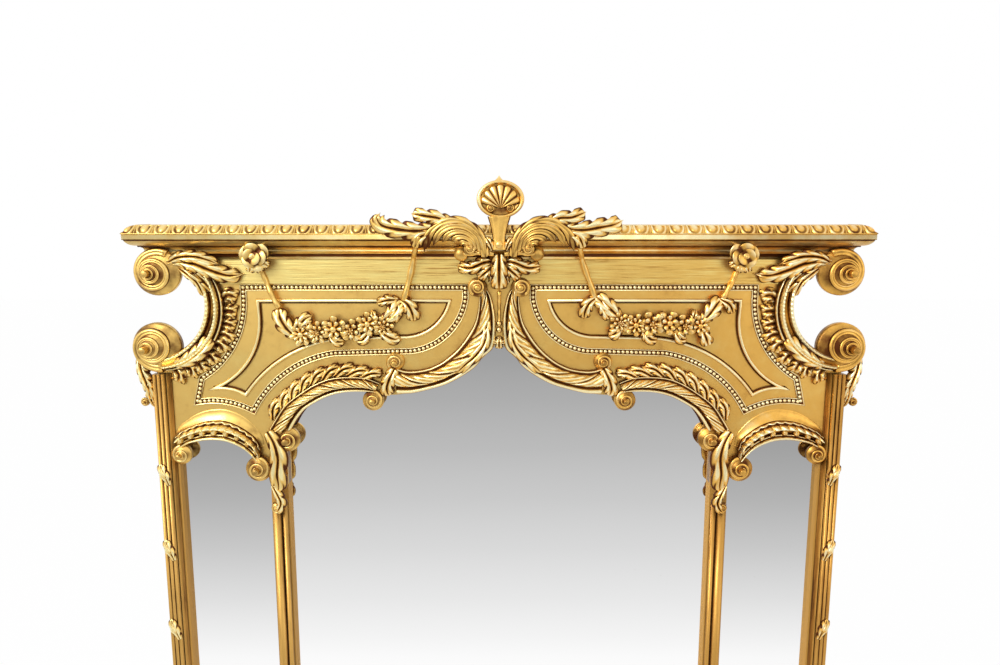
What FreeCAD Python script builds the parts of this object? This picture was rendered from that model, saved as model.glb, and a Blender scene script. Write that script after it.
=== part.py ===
"""Gilt trumeau mirror: three mirror plates under a carved, arched spandrel and a full cornice.

Millimetres. X runs to the viewer's right, the front faces -Y, Z is up. The origin is the middle of the
underside: y = 0 is the front face of the carcass, z = 0 is what the mirror stands on. Every driving size is
a cell of the sheet.
"""

import FreeCAD, Part
import Sketcher
import math
import os

from FreeCAD import Vector

doc = FreeCAD.newDocument("trumeau_mirror")
sheet = doc.addObject("Spreadsheet::Sheet", "sizes")

SIZES = [
    # carcass
    ("frame_width", 1630, "over the outer edges of the two stiles"),
    ("carcass_depth", 38, "stiles, mullions and rails, front to back"),
    ("board_thickness", 18, "spandrel board, and the lip in front of the glass"),
    ("stile_width", 40, "face width of each stile"),
    ("side_light_width", 219, "between the sight edges of a stile and its mullion"),
    ("mullion_width", 42, "face width of each mullion"),
    ("bottom_rail_height", 43, "face height of the bottom rail"),
    ("top_rail_height", 70, "plank behind the cornice"),
    ("batten_height", 70, "cross batten behind the spandrel"),
    ("rebate_width", 9, "how far each rebate runs under the sight edge"),
    ("tenon_length", 24, "rail and mullion tenons"),
    ("tenon_thickness", 10, "rail and mullion tenons"),
    ("tenon_inset", 5, "from the face of the member to its tenon"),
    ("joint_clearance", 0.2, "round tenons and behind their ends"),
    ("seat_gap", 0.3, "between carved pieces that lie against each other"),
    # heights of the spandrel and cornice
    ("stile_shoulder_height", 1150, "where the spandrel board laps over the stiles"),
    ("mullion_drop", 55, "mullions' shoulder below the stiles' shoulder"),
    ("spandrel_height", 436, "stiles' shoulder to the underside of the frieze"),
    ("ear_soffit_rise", 39, "underside of the ears above that of the frieze"),
    ("frieze_height", 56, "face of the frieze"),
    ("frieze_thickness", 12, "stands in front of the spandrel board"),
    ("bed_height", 29, "bed moulding"),
    ("crown_height", 29, "crown: cove and fillet"),
    ("egg_height", 22, "egg-and-dart ovolo"),
    ("cornice_set_in", 22, "core of the cornice, in from the stile's outer edge"),
    ("cornice_projection", 57, "ovolo tip in front of the carcass"),
    # openings, their heights measured from the stiles' shoulder
    ("side_spring_rise", 32, "side arch where it leaves the stile"),
    ("side_spring_fall", 48, "side arch where it leaves the mullion, below the shoulder"),
    ("side_arch_bow", 62, "side arch over the line between its springs"),
    ("arch_spring_rise", 75, "centre arch where it leaves the mullion"),
    ("arch_crown_rise", 178, "crown of its lobe beside the mullion"),
    ("arch_crown_set_in", 169, "that crown from the mullion's sight edge"),
    ("arch_lobe_bow", 26, "lobe over the line from spring to crown"),
    ("arch_cusp_rise", 168, "cusps of the centre arch"),
    ("arch_cusp_set_in", 252, "cusps from the mullion's sight edge"),
    ("arch_apex_rise", 300, "point of the centre arch"),
    ("arch_sweep_bow", 33, "sweep from cusp to point, hollow side down"),
    ("ear_bite_half", 109, "top of the round bite in each ear, in from the stile's edge"),
    ("ear_bite_bow", 77, "bite over the line between its ends"),
    ("ear_bite_foot", 253, "foot of the bite"),
    ("field_depth", 3, "sunk field of each upper panel"),
    # glass and back
    ("glass_thickness", 5, "mirror plates"),
    ("glass_clearance", 1.5, "between a plate and the wood round it"),
    ("backboard_thickness", 6, "thin boards that close the back"),
    ("backboard_lap", 12, "backboard over the carcass round an opening"),
    ("block_length", 45, "glazing blocks"),
    ("block_width", 14, "glazing blocks"),
    ("hanger_spacing", 1200, "between the two hanging plates"),
    ("hanger_width", 34, "hanging plate"),
    ("hanger_height", 70, "hanging plate"),
    ("hanger_thickness", 3, "hanging plate"),
    ("hanger_hole_radius", 4.5, "hole for the wall screw"),
    ("screw_recess_radius", 7, "recess behind that hole, for the head of the wall screw"),
    ("screw_recess_depth", 12, "recess behind that hole, for the head of the wall screw"),
    # mouldings
    ("moulding_width", 38, "reeded moulding of stiles and bottom rail"),
    ("moulding_height", 22, "its highest reed above the carcass"),
    ("moulding_overhang", 3, "past the outer edge of the stile"),
    ("small_moulding_width", 36, "moulding of the mullions"),
    ("small_moulding_height", 18, "its highest part above the carcass"),
    ("bead_width", 9, "bead-and-reel border"),
    ("bead_height", 6, "bead-and-reel border"),
    ("astragal_width", 8, "astragal round each sunk field"),
    ("astragal_height", 6, "astragal round each sunk field"),
    # carving
    ("scroll_outer_radius", 150, "outer curve of each C scroll"),
    ("scroll_height", 34, "C scroll in front of the board"),
    ("upper_volute_radius", 56, "volute at the top of each C scroll"),
    ("lower_volute_radius", 62, "volute at the foot of each C scroll"),
    ("volute_projection", 60, "eye of each volute in front of the board"),
    ("shell_radius", 174, "outer edge of the shellwork beside each C scroll"),
    ("band_height", 26, "arch scrolls in front of the board"),
    ("medallion_half_width", 51, "oval cartouche of the crest"),
    ("medallion_half_height", 41, "oval cartouche of the crest"),
    ("medallion_rise", 56, "its centre above the cornice"),
    ("crest_projection", 70, "face of the crest in front of the carcass"),
    ("finial_height", 11, "tip of the crest above its rim"),
    ("boss_radius", 26, "balls that the garlands hang from"),
    ("bracket_ball_radius", 17, "balls at the ends of the crest bracket"),
    ("bracket_spread", 172, "between the centres of those balls"),
]


class Dim:
    """A length that carries both its number and the sheet expression that gives it."""

    def __init__(self, value, text):
        self.value = value
        self.text = text

    @staticmethod
    def of(thing):
        return thing if isinstance(thing, Dim) else Dim(float(thing), repr(float(thing)))

    def __add__(self, other):
        other = Dim.of(other)
        return Dim(self.value + other.value, f"({self.text} + {other.text})")

    def __sub__(self, other):
        other = Dim.of(other)
        return Dim(self.value - other.value, f"({self.text} - {other.text})")

    def __mul__(self, other):
        other = Dim.of(other)
        return Dim(self.value * other.value, f"({self.text} * {other.text})")

    def __truediv__(self, other):
        other = Dim.of(other)
        return Dim(self.value / other.value, f"({self.text} / {other.text})")

    def __neg__(self):
        return Dim(-self.value, f"(-{self.text})")

    __radd__ = __add__
    __rmul__ = __mul__

    def __rsub__(self, other):
        return Dim.of(other) - self

    def __float__(self):
        return float(self.value)


class Sizes:
    """The sheet's cells as attributes."""


size = Sizes()
for row, (alias, value, words) in enumerate(SIZES, start=1):
    sheet.set(f"A{row}", words)
    sheet.set(f"B{row}", str(value))
    sheet.setAlias(f"B{row}", alias)
doc.recompute()
for alias, value, words in SIZES:
    setattr(size, alias, Dim(float(sheet.get(alias)), "sizes." + alias))

# ---------------------------------------------------------------- places that several pieces share

stile_out = size.frame_width / 2
stile_in = stile_out - size.stile_width
mullion_out = stile_in - size.side_light_width
mullion_mid = mullion_out - size.mullion_width / 2
mullion_in = mullion_out - size.mullion_width
crown_half = mullion_in - size.arch_crown_set_in
cusp_half = mullion_in - size.arch_cusp_set_in
core = stile_out - size.cornice_set_in

rail_top = size.bottom_rail_height
shoulder = size.stile_shoulder_height
mullion_shoulder = shoulder - size.mullion_drop
frieze_low = shoulder + size.spandrel_height
soffit = frieze_low + size.ear_soffit_rise
frieze_top = frieze_low + size.frieze_height
bed_top = frieze_top + size.bed_height
crown_top = bed_top + size.crown_height
cornice_top = crown_top + size.egg_height
board_top = crown_top

depth = size.carcass_depth
lip = size.board_thickness
glass_back = lip + size.glass_thickness
back = depth + size.backboard_thickness
zero = Dim(0.0, "0")

ear_x = core
ear_z = shoulder + 380
frieze_end = ear_x - size.scroll_outer_radius + 5

subparts = []


def keep(thing, label):
    """Label a finished sub-part and put it on the list of pieces."""
    thing.Label = label
    subparts.append(thing)
    return thing


# ---------------------------------------------------------------- boards and joinery (bodies with sketches)


def new_body(label):
    return keep(doc.addObject("PartDesign::Body", label), label)


def origin_plane(body, role):
    return next(feature for feature in body.Origin.OriginFeatures if feature.Role == role)


def radius_of(here, there, bow):
    """Radius of an arc from its chord and its bow over the chord."""
    across, up = Dim.of(there[0]) - here[0], Dim.of(there[1]) - here[1]
    return ((across * across + up * up) / 4 + Dim.of(bow) * bow) / (2 * Dim.of(bow))


def outline_sketch(body, name, role, points, bows, offset):
    """Closed sketch on an origin plane: each corner is placed by two bound distances from the origin.

    bows maps the number of a side to the bow of its arc and the side of the chord it swells to: 1 is
    right of the way round, -1 left. Every other side is straight.
    """
    sketch = body.newObject("Sketcher::SketchObject", name)
    sketch.AttachmentSupport = [(origin_plane(body, role), "")]
    sketch.MapMode = "FlatFace"
    sketch.setExpression("AttachmentOffset.Base.z", Dim.of(offset).text)
    count = len(points)
    corners = [Vector(float(a), float(b), 0) for a, b in points]
    ends = []
    for side in range(count):
        here, there = corners[side], corners[(side + 1) % count]
        if side not in bows:
            sketch.addGeometry(Part.LineSegment(here, there))
            ends.append((1, 2))
            continue
        bow, swell = float(bows[side][0]), bows[side][1]
        way = there - here
        crown = (here + there) * 0.5 + Vector(way.y, -way.x, 0).normalize() * (bow * swell)
        if swell > 0:
            sketch.addGeometry(Part.Arc(here, crown, there))
            ends.append((1, 2))
        else:
            sketch.addGeometry(Part.Arc(there, crown, here))
            ends.append((2, 1))
    for side in range(count):
        follower = (side + 1) % count
        rule = Sketcher.Constraint("Coincident", side, ends[side][1], follower, ends[follower][0])
        sketch.addConstraint(rule)
    for side, (a, b) in enumerate(points):
        for kind, place in (("DistanceX", Dim.of(a)), ("DistanceY", Dim.of(b))):
            rule = Sketcher.Constraint(kind, -1, 1, side, ends[side][0], place.value)
            bind(sketch, sketch.addConstraint(rule), place)
    for side, (bow, swell) in bows.items():
        radius = radius_of(points[side], points[(side + 1) % count], bow)
        rule = Sketcher.Constraint("Radius", side, float(radius))
        bind(sketch, sketch.addConstraint(rule), radius)
    return sketch


def bind(sketch, number, place):
    """Tie one sketch constraint to its expression, if it has one."""
    if "sizes." in place.text:
        sketch.setExpression(f"Constraints[{number}]", place.text)


def front_slab(body, kind, name, points, y_from, y_to, bows=None):
    """Pad or pocket a front-view outline (x, z) from depth y_from back to depth y_to."""
    sketch = outline_sketch(body, name + "_outline", "XZ_Plane", points, bows or {}, -Dim.of(y_from))
    feature = body.newObject("PartDesign::" + kind, name)
    feature.Profile = sketch
    feature.setExpression("Length", (Dim.of(y_to) - y_from).text)
    feature.Reversed = kind == "Pad"
    sketch.Visibility = False
    return feature


def box_points(side, x_near, x_far, z_low, z_high):
    """Corners of an upright rectangle on the right (side 1) or the left (side -1), anticlockwise."""
    left, right = (x_near, x_far) if side > 0 else (-Dim.of(x_far), -Dim.of(x_near))
    return [(left, z_low), (right, z_low), (right, z_high), (left, z_high)]


def mirrored(side, points):
    return [(Dim.of(x) * side, z) for x, z in points]


batten_top = frieze_low - 40
batten_low = batten_top - size.batten_height
tenon_front = size.tenon_inset
tenon_back = size.tenon_inset + size.tenon_thickness
fit = size.joint_clearance


def make_stile(side, label):
    """Outer upright: rebated for the glass, mortised for the bottom rail, halved behind the spandrel."""
    body = new_body(label)
    lap_top = shoulder + 225
    front_slab(body, "Pad", "lip", box_points(side, stile_in, stile_out, zero, shoulder), zero, lip)
    rear = [
        (stile_in, zero),
        (stile_out, zero),
        (stile_out, lap_top),
        (stile_in + size.rebate_width, lap_top),
        (stile_in + size.rebate_width, rail_top - size.rebate_width),
        (stile_in, rail_top - size.rebate_width),
    ]
    front_slab(body, "Pad", "rear", mirrored(side, rear), lip, depth)
    mortise = box_points(
        side,
        stile_in - 1,
        stile_in + size.tenon_length + fit,
        6 - fit,
        rail_top - 6 + fit,
    )
    front_slab(body, "Pocket", "mortise", mortise, tenon_front - fit, tenon_back + fit)


def make_mullion(side, label):
    """Inner upright: rebated both sides, tenoned into the bottom rail, running up behind the spandrel."""
    body = new_body(label)
    web_in = mullion_in + size.rebate_width
    web_out = mullion_out - size.rebate_width
    front = box_points(side, mullion_in, mullion_out, rail_top, mullion_shoulder)
    front_slab(body, "Pad", "lip", front, zero, lip)
    web = box_points(side, web_in, web_out, rail_top - size.rebate_width, batten_low)
    front_slab(body, "Pad", "web", web, lip, depth)
    tenon = box_points(side, web_in, web_out, rail_top - size.tenon_length, rail_top)
    front_slab(body, "Pad", "tenon", tenon, tenon_front, tenon_back)


def make_bottom_rail():
    """Bottom rail: tenoned into both stiles, rebated along its top, mortised for the mullions."""
    body = new_body("bottom_rail")
    front_slab(body, "Pad", "rail", box_points(1, -stile_in, stile_in, zero, rail_top), zero, depth)
    reach = stile_in + size.tenon_length
    front_slab(body, "Pad", "tenons", box_points(1, -reach, reach, 6, rail_top - 6), tenon_front, tenon_back)
    rebate = box_points(1, -stile_in - 1, stile_in + 1, rail_top - size.rebate_width, rail_top + 1)
    front_slab(body, "Pocket", "rebate", rebate, lip, depth + 1)
    for side, word in ((-1, "left"), (1, "right")):
        mortise = box_points(
            side,
            mullion_in + size.rebate_width - fit,
            mullion_out - size.rebate_width + fit,
            rail_top - size.tenon_length - fit,
            rail_top + 1,
        )
        front_slab(body, "Pocket", word + "_mortise", mortise, tenon_front - fit, tenon_back + fit)


def plank(label, side, x_near, x_far, z_low, z_high, y_from, y_to):
    """Plain board, square on all edges."""
    body = new_body(label)
    front_slab(body, "Pad", "board", box_points(side, x_near, x_far, z_low, z_high), y_from, y_to)
    return body


centre_plate_top = shoulder + 322
side_plate_top = shoulder + 90


for side, word in ((-1, "left"), (1, "right")):
    make_stile(side, word + "_stile")
    make_mullion(side, word + "_mullion")
make_bottom_rail()
top_rail = plank("top_rail", 1, -core, core, board_top - size.top_rail_height, board_top, lip, depth)
batten_end = ear_x - size.scroll_outer_radius
plank("cross_batten", 1, -batten_end, batten_end, batten_low, batten_top, lip, depth)

# mirror plates, their backboards and the blocks that hold them
gap = size.glass_clearance
web_in = mullion_in + size.rebate_width
web_out = mullion_out - size.rebate_width
plate_low = rail_top - size.rebate_width + gap
side_plate_end = stile_in + size.rebate_width - gap
plank("centre_plate", 1, gap - web_in, web_in - gap, plate_low, centre_plate_top, lip, glass_back)
centre_cover = mullion_mid - 0.5
cover_low = rail_top - size.rebate_width - size.backboard_lap
plank("centre_backboard", 1, -centre_cover, centre_cover, cover_low, batten_low + 30, depth, back)
for side, word in ((-1, "left"), (1, "right")):
    plank(word + "_plate", side, web_out + gap, side_plate_end, plate_low, side_plate_top, lip, glass_back)
    cover_end = stile_in + size.rebate_width + size.backboard_lap
    cover_top = side_plate_top + 40
    plank(word + "_backboard", side, mullion_mid + 0.5, cover_end, cover_low, cover_top, depth, back)

# ---------------------------------------------------------------- spandrel board


def field_outline(side):
    """Sunk field of an upper panel: a long top edge, swept arches below, a slim tip at the stile."""
    return mirrored(
        side,
        [
            (ear_x - 227, frieze_low - 41),
            (ear_x - 228, frieze_low - 71),
            (stile_in - 90.5, shoulder + 183),
            (mullion_out + 49, shoulder + 168.6),
            (mullion_in - 147, shoulder + 305.3),
            (cusp_half - 37, shoulder + 307.7),
            (Dim.of(116), frieze_low - 41),
        ],
    )


def field_bows(side):
    return {1: (37, side), 2: (8, side), 3: (31, side), 5: (25, -side)}


def border_outline(side):
    """Bead border of an upper panel, its centre line."""
    return mirrored(
        side,
        [
            (ear_x - 194, frieze_low - 10),
            (ear_x - 194, frieze_low - 46),
            (stile_in - 67, shoulder + 209),
            (stile_in - 53, shoulder + 151),
            (mullion_out + 33, shoulder + 129),
            (mullion_in - 123, shoulder + 270),
            (cusp_half - 53, shoulder + 275),
            (Dim.of(79), frieze_low - 36),
            (Dim.of(79), frieze_low - 10),
        ],
    )


def border_bows(side):
    return {1: (27, side), 3: (12, side), 4: (29, side), 6: (31, -side)}


def make_spandrel():
    """Shaped board that carries the carving: three arched openings below, a round bite in each ear."""
    body = new_body("spandrel_board")
    ear_low = shoulder + size.ear_bite_foot + 20
    shape = [
        (-stile_out, mullion_shoulder),
        (stile_out, mullion_shoulder),
        (stile_out, ear_low),
        (core, ear_low),
        (core, board_top),
        (-core, board_top),
        (-core, ear_low),
        (-stile_out, ear_low),
    ]
    front_slab(body, "Pad", "board", shape, zero, lip)
    below = mullion_shoulder - 1
    spring = shoulder + size.arch_spring_rise
    crown = shoulder + size.arch_crown_rise
    cusp = shoulder + size.arch_cusp_rise
    half = [
        (mullion_in, below),
        (mullion_in, spring),
        (crown_half, crown),
        (cusp_half, cusp),
    ]
    opening = half + [(zero, shoulder + size.arch_apex_rise)] + mirrored(-1, half[::-1])
    bows = {
        1: (size.arch_lobe_bow, 1),
        2: (4, 1),
        3: (size.arch_sweep_bow, -1),
        4: (size.arch_sweep_bow, -1),
        5: (4, 1),
        6: (size.arch_lobe_bow, 1),
    }
    front_slab(body, "Pocket", "centre_opening", opening, zero, lip, bows)
    for side, word in ((-1, "left"), (1, "right")):
        arch = [
            (stile_out + 1, below),
            (stile_out + 1, shoulder),
            (stile_in, shoulder),
            (stile_in, shoulder + size.side_spring_rise),
            (mullion_out, shoulder - size.side_spring_fall),
            (mullion_out, below),
        ]
        bows = {3: (size.side_arch_bow, side)}
        front_slab(body, "Pocket", word + "_opening", mirrored(side, arch), zero, lip, bows)
        bite = [
            (stile_out + 9, soffit),
            (stile_out - size.ear_bite_half, soffit),
            (stile_out, shoulder + size.ear_bite_foot),
            (stile_out + 9, shoulder + size.ear_bite_foot),
        ]
        bows = {1: (size.ear_bite_bow, side)}
        front_slab(body, "Pocket", word + "_ear_bite", mirrored(side, bite), zero, lip, bows)
        field = field_outline(side)
        front_slab(body, "Pocket", word + "_field", field, zero, size.field_depth, field_bows(side))


make_spandrel()

# ---------------------------------------------------------------- cornice and frieze


def cornice_member(label, section, bows=None):
    """Moulding that runs along the front and returns to the wall at both ends, mitred at the corners.

    The section is a list of (distance out from the carcass, height).
    """
    body = new_body(label)
    corners = [(-Dim.of(core) - out, height) for out, height in section]
    profile = outline_sketch(body, label + "_section", "XZ_Plane", corners, bows or {}, -depth)
    path = body.newObject("Sketcher::SketchObject", label + "_path")
    path.AttachmentSupport = [(origin_plane(body, "XY_Plane"), "")]
    path.MapMode = "FlatFace"
    path.setExpression("AttachmentOffset.Base.z", Dim.of(section[0][1]).text)
    route = [(-core, depth), (-core, zero), (core, zero), (core, depth)]
    for here, there in zip(route, route[1:]):
        start = Vector(float(here[0]), float(here[1]), 0)
        end = Vector(float(there[0]), float(there[1]), 0)
        path.addGeometry(Part.LineSegment(start, end))
    for side in range(len(route) - 2):
        path.addConstraint(Sketcher.Constraint("Coincident", side, 2, side + 1, 1))
    for number, (a, b) in enumerate(route):
        side, end = (number, 1) if number < len(route) - 1 else (number - 1, 2)
        for kind, place in (("DistanceX", Dim.of(a)), ("DistanceY", Dim.of(b))):
            rule = Sketcher.Constraint(kind, -1, 1, side, end, place.value)
            bind(path, path.addConstraint(rule), place)
    pipe = body.newObject("PartDesign::AdditivePipe", label + "_run")
    pipe.Profile = profile
    pipe.Spine = path
    pipe.Transition = "Right corner"
    for sketch in (profile, path):
        sketch.Visibility = False


tip = size.cornice_projection
top_board_edge = tip - 27
cornice_member(
    "egg_and_dart",
    [
        (top_board_edge, crown_top),
        (tip - 2, crown_top),
        (tip, crown_top + 3),
        (top_board_edge + 4, cornice_top),
        (top_board_edge, cornice_top),
    ],
    {2: (6, -1)},
)
cornice_member(
    "cornice_crown",
    [
        (zero, bed_top),
        (tip - 26, bed_top),
        (tip - 25, bed_top + 3),
        (tip - 4, crown_top - 12),
        (tip - 2, crown_top - 12),
        (tip - 2, crown_top),
        (zero, crown_top),
    ],
    {2: (4, 1)},
)
cornice_member(
    "bed_moulding",
    [
        (zero, frieze_top),
        (tip - 41, frieze_top),
        (tip - 41, frieze_top + 6),
        (tip - 38, frieze_top + 6),
        (tip - 38, bed_top - 16),
        (tip - 31, bed_top - 15),
        (tip - 31, bed_top - 1),
        (tip - 31, bed_top),
        (zero, bed_top),
    ],
    {5: (5, -1)},
)
top_edge = core + top_board_edge
plank("cornice_top_board", 1, -top_edge, top_edge, crown_top, cornice_top - 2, -top_board_edge, depth)

frieze = new_body("frieze_board")
frieze_front = -Dim.of(size.frieze_thickness)
frieze_side = core + size.frieze_thickness
frieze_half = [(frieze_end, frieze_low), (frieze_end, soffit)]
frieze_half += [(frieze_side, soffit), (frieze_side, frieze_top)]
front_slab(frieze, "Pad", "face", mirrored(-1, frieze_half[::-1]) + frieze_half, frieze_front, zero)

returns = new_body("frieze_returns")
for side in (-1, 1):
    ends = box_points(side, core, frieze_side, soffit, frieze_top)
    front_slab(returns, "Pad", "left" if side < 0 else "right", ends, zero, depth)

# ---------------------------------------------------------------- straight face mouldings


def reeded_section():
    """Three reeds, a quirk and a sight bevel: (distance in from the outer edge, height above the carcass)."""
    width, high = size.moulding_width, size.moulding_height
    reed = width / 4
    points = [
        (zero, zero),
        (zero, high - 4),
        (reed, high - 4),
        (reed * 2, high - 4),
        (reed * 3, high - 5),
        (reed * 3, high - 14),
        (reed * 3 + 2, high - 14),
        (reed * 3 + 2, high - 8),
        (width, Dim.of(4)),
        (width, zero),
    ]
    return points, {1: (4, -1), 2: (4, -1), 3: (3.5, -1)}


def small_section():
    """Mullion moulding: a large rounded lobe on the side-plate edge, a quirk, a small lobe."""
    width, high = size.small_moulding_width, size.small_moulding_height
    points = [
        (zero, zero),
        (zero, high - 7),
        (width * 0.6, high - 9),
        (width * 0.6, high - 14),
        (width * 0.68, high - 14),
        (width * 0.68, high - 9),
        (width, high - 10),
        (width, zero),
    ]
    return points, {1: (7, -1), 5: (4, -1)}


def upright_moulding(label, side, outer, section, low, high, mitre):
    """Moulding that stands on an upright; the foot is mitred where a moulding of its own width meets it."""
    body = new_body(label)
    points, bows = section
    plan = [((outer - along) * side, -Dim.of(up)) for along, up in points]
    bows = {number: (bow, swell * side) for number, (bow, swell) in bows.items()}
    sketch = outline_sketch(body, label + "_section", "XY_Plane", plan, bows, low)
    pad = body.newObject("PartDesign::Pad", label + "_run")
    pad.Profile = sketch
    pad.setExpression("Length", (Dim.of(high) - low).text)
    sketch.Visibility = False
    if mitre:
        width = points[-1][0]
        inner = outer - width - 1
        corner = mirrored(side, [(outer + 1, low - 1), (inner, low + width + 1), (inner, low - 1)])
        front_slab(body, "Pocket", label + "_mitre", corner, -size.moulding_height - 1, 1)


moulding_out = stile_out + size.moulding_overhang
stile_moulding_top = shoulder + 222
drop_seat = mullion_shoulder - 47
small_out = mullion_mid + size.small_moulding_width / 2
for side, word in ((-1, "left"), (1, "right")):
    upright_moulding(
        word + "_stile_moulding", side, moulding_out, reeded_section(), zero, stile_moulding_top, True
    )
    upright_moulding(
        word + "_mullion_moulding", side, small_out, small_section(), size.moulding_width, drop_seat, False
    )

rail_moulding = new_body("bottom_rail_moulding")
points, bows = reeded_section()
side_view = [(-Dim.of(up), along) for along, up in points]
sketch = outline_sketch(rail_moulding, "rail_section", "YZ_Plane", side_view, bows, -moulding_out)
pad = rail_moulding.newObject("PartDesign::Pad", "rail_run")
pad.Profile = sketch
pad.setExpression("Length", (2 * moulding_out).text)
sketch.Visibility = False
for side, word in ((-1, "left"), (1, "right")):
    width = size.moulding_width
    beyond = moulding_out + 1
    corner = [(beyond, zero - 1), (beyond, width + 1), (moulding_out - width - 1, width + 1)]
    front_slab(rail_moulding, "Pocket", word + "_mitre", mirrored(side, corner), -size.moulding_height - 1, 1)

# ---------------------------------------------------------------- hidden fittings


def fused(shapes):
    whole = shapes[0].multiFuse(shapes[1:]) if len(shapes) > 1 else shapes[0]
    return whole.removeSplitter()


def mirror_x(shape):
    return shape.mirror(Vector(0, 0, 0), Vector(1, 0, 0))


def carved(label, shape):
    """Carved or turned piece whose form is worked out below from the sheet's sizes."""
    piece = doc.addObject("Part::Feature", label)
    piece.Shape = shape
    return keep(piece, label)


def block(x_low, x_high, y_low, y_high, z_low, z_high):
    corner = Vector(float(x_low), float(y_low), float(z_low))
    sides = [float(b) - float(a) for a, b in ((x_low, x_high), (y_low, y_high), (z_low, z_high))]
    return Part.makeBox(*sides, corner)


def glazing_blocks():
    """Rubbed blocks between each plate and its backboard, down both rebates and along the foot."""
    blocks = []
    low = float(rail_top - size.rebate_width)
    long = float(size.block_length)
    wide = float(size.block_width)
    runs = [
        (stile_in + size.rebate_width, -1, side_plate_top),
        (web_out, 1, side_plate_top),
        (web_in, -1, centre_plate_top),
    ]
    for edge, way, top in runs:
        for share in (0.12, 0.5, 0.88):
            foot = low + share * (float(top) - low) - long / 2
            ends = sorted((float(edge), float(edge) + way * wide))
            blocks.append(block(*ends, glass_back, depth, foot, foot + long))
    for middle in (float(side_plate_end + web_out) / 2, float(web_in) / 2):
        blocks.append(block(middle - long / 2, middle + long / 2, glass_back, depth, low, low + wide))
    return Part.makeCompound([half for one in blocks for half in (one, mirror_x(one))])


carved("glazing_blocks", glazing_blocks())

hanger_z = board_top - size.top_rail_height / 2
hanger_x = size.hanger_spacing / 2


def round_pocket(body, name, x, z, radius, y_from, y_to):
    """Round blind hole bored from behind."""
    sketch = body.newObject("Sketcher::SketchObject", name + "_outline")
    sketch.AttachmentSupport = [(origin_plane(body, "XZ_Plane"), "")]
    sketch.MapMode = "FlatFace"
    sketch.setExpression("AttachmentOffset.Base.z", (-Dim.of(y_from)).text)
    sketch.addGeometry(Part.Circle(Vector(float(x), float(z), 0), Vector(0, 0, 1), float(radius)))
    for kind, place in (("DistanceX", Dim.of(x)), ("DistanceY", Dim.of(z))):
        bind(sketch, sketch.addConstraint(Sketcher.Constraint(kind, -1, 1, 0, 3, place.value)), place)
    bind(sketch, sketch.addConstraint(Sketcher.Constraint("Radius", 0, float(radius))), Dim.of(radius))
    pocket = body.newObject("PartDesign::Pocket", name)
    pocket.Profile = sketch
    pocket.setExpression("Length", (Dim.of(y_to) - y_from).text)
    sketch.Visibility = False


hangers = new_body("hanging_plates")
half_wide, half_high, cut_off = size.hanger_width / 2, size.hanger_height / 2, 5
hanger_back = depth + size.hanger_thickness
recess_front = depth - size.screw_recess_depth
for side, word in ((-1, "left"), (1, "right")):
    x = hanger_x * side
    plate = []
    for across, up in ((1, -1), (1, 1), (-1, 1), (-1, -1)):
        low_or_high = [
            (x + half_wide * across, hanger_z + (half_high - cut_off) * up),
            (x + (half_wide - cut_off) * across, hanger_z + half_high * up),
        ]
        plate += low_or_high if across * up > 0 else low_or_high[::-1]
    front_slab(hangers, "Pad", word + "_plate", plate, depth, hanger_back)
    round_pocket(hangers, word + "_hole", x, hanger_z, size.hanger_hole_radius, depth, hanger_back)
    round_pocket(top_rail, word + "_recess", x, hanger_z, size.screw_recess_radius, recess_front, depth)

# ---------------------------------------------------------------- shapes that the carving is made from


def spot(x, z, y=0.0):
    return Vector(float(x), float(y), float(z))


def bowed(here, there, bow):
    """Arc between two front-view points that swells by bow to the right of the way, or a line."""
    if not bow:
        return Part.makeLine(here, there)
    way = there - here
    aside = Vector(way.z, 0, -way.x).normalize()
    return Part.Arc(here, (here + there) * 0.5 + aside * bow, there).toShape()


def outline(points, bows):
    """Closed front-view wire from corners and the bows of some of its sides."""
    places = [spot(x, z) for x, z in points]
    edges = []
    for side, here in enumerate(places):
        bow, swell = bows.get(side, (0, 1))
        edges.append(bowed(here, places[(side + 1) % len(places)], float(bow) * swell))
    return Part.Wire(edges)


def flat_strip(points, bows, width, height, rise_to):
    """Strip of even width that follows an outline: square at the wall, its top narrowed for the beads."""
    wire = outline(points, bows)
    walls = []
    for reach in (width / 2, -width / 2):
        foot = wire.makeOffset2D(reach, 1, False, False)
        crest = wire.makeOffset2D(reach * rise_to, 1, False, False)
        crest.translate(Vector(0, -height, 0))
        walls.append(Part.makeLoft([foot, crest], True, True))
    outer, inner = sorted(walls, key=lambda solid: -solid.Volume)
    return outer.cut(inner)


def rail_curve(points):
    """Smooth curve through a few front-view points."""
    curve = Part.BSplineCurve()
    curve.interpolate([spot(x, z) for x, z in points])
    return curve.toShape()


def circle_rail(x, z, radius, start, end):
    """Arc of a circle in front view between two angles in degrees."""
    ends = [math.radians(start), math.radians((start + end) / 2), math.radians(end)]
    places = [spot(x + radius * math.cos(a), z + radius * math.sin(a)) for a in ends]
    return Part.Arc(*places).toShape()


def stations(rail, count):
    return rail.discretize(count)


def skin(rings):
    """Solid with flat facets between rings of points; the rings' planes close its ends."""
    faces = [Part.Face(Part.makePolygon(ring + ring[:1])) for ring in (rings[0], rings[-1])]
    for ring, after in zip(rings, rings[1:]):
        for number, here in enumerate(ring):
            beside = (number + 1) % len(ring)
            there, across, back_corner = ring[beside], after[beside], after[number]
            for corners in ((here, there, across), (here, across, back_corner)):
                faces.append(Part.Face(Part.makePolygon(list(corners) + [here])))
    solid = Part.makeSolid(Part.makeShell(faces))
    if solid.Volume < 0:
        solid.reverse()
    return solid


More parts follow.
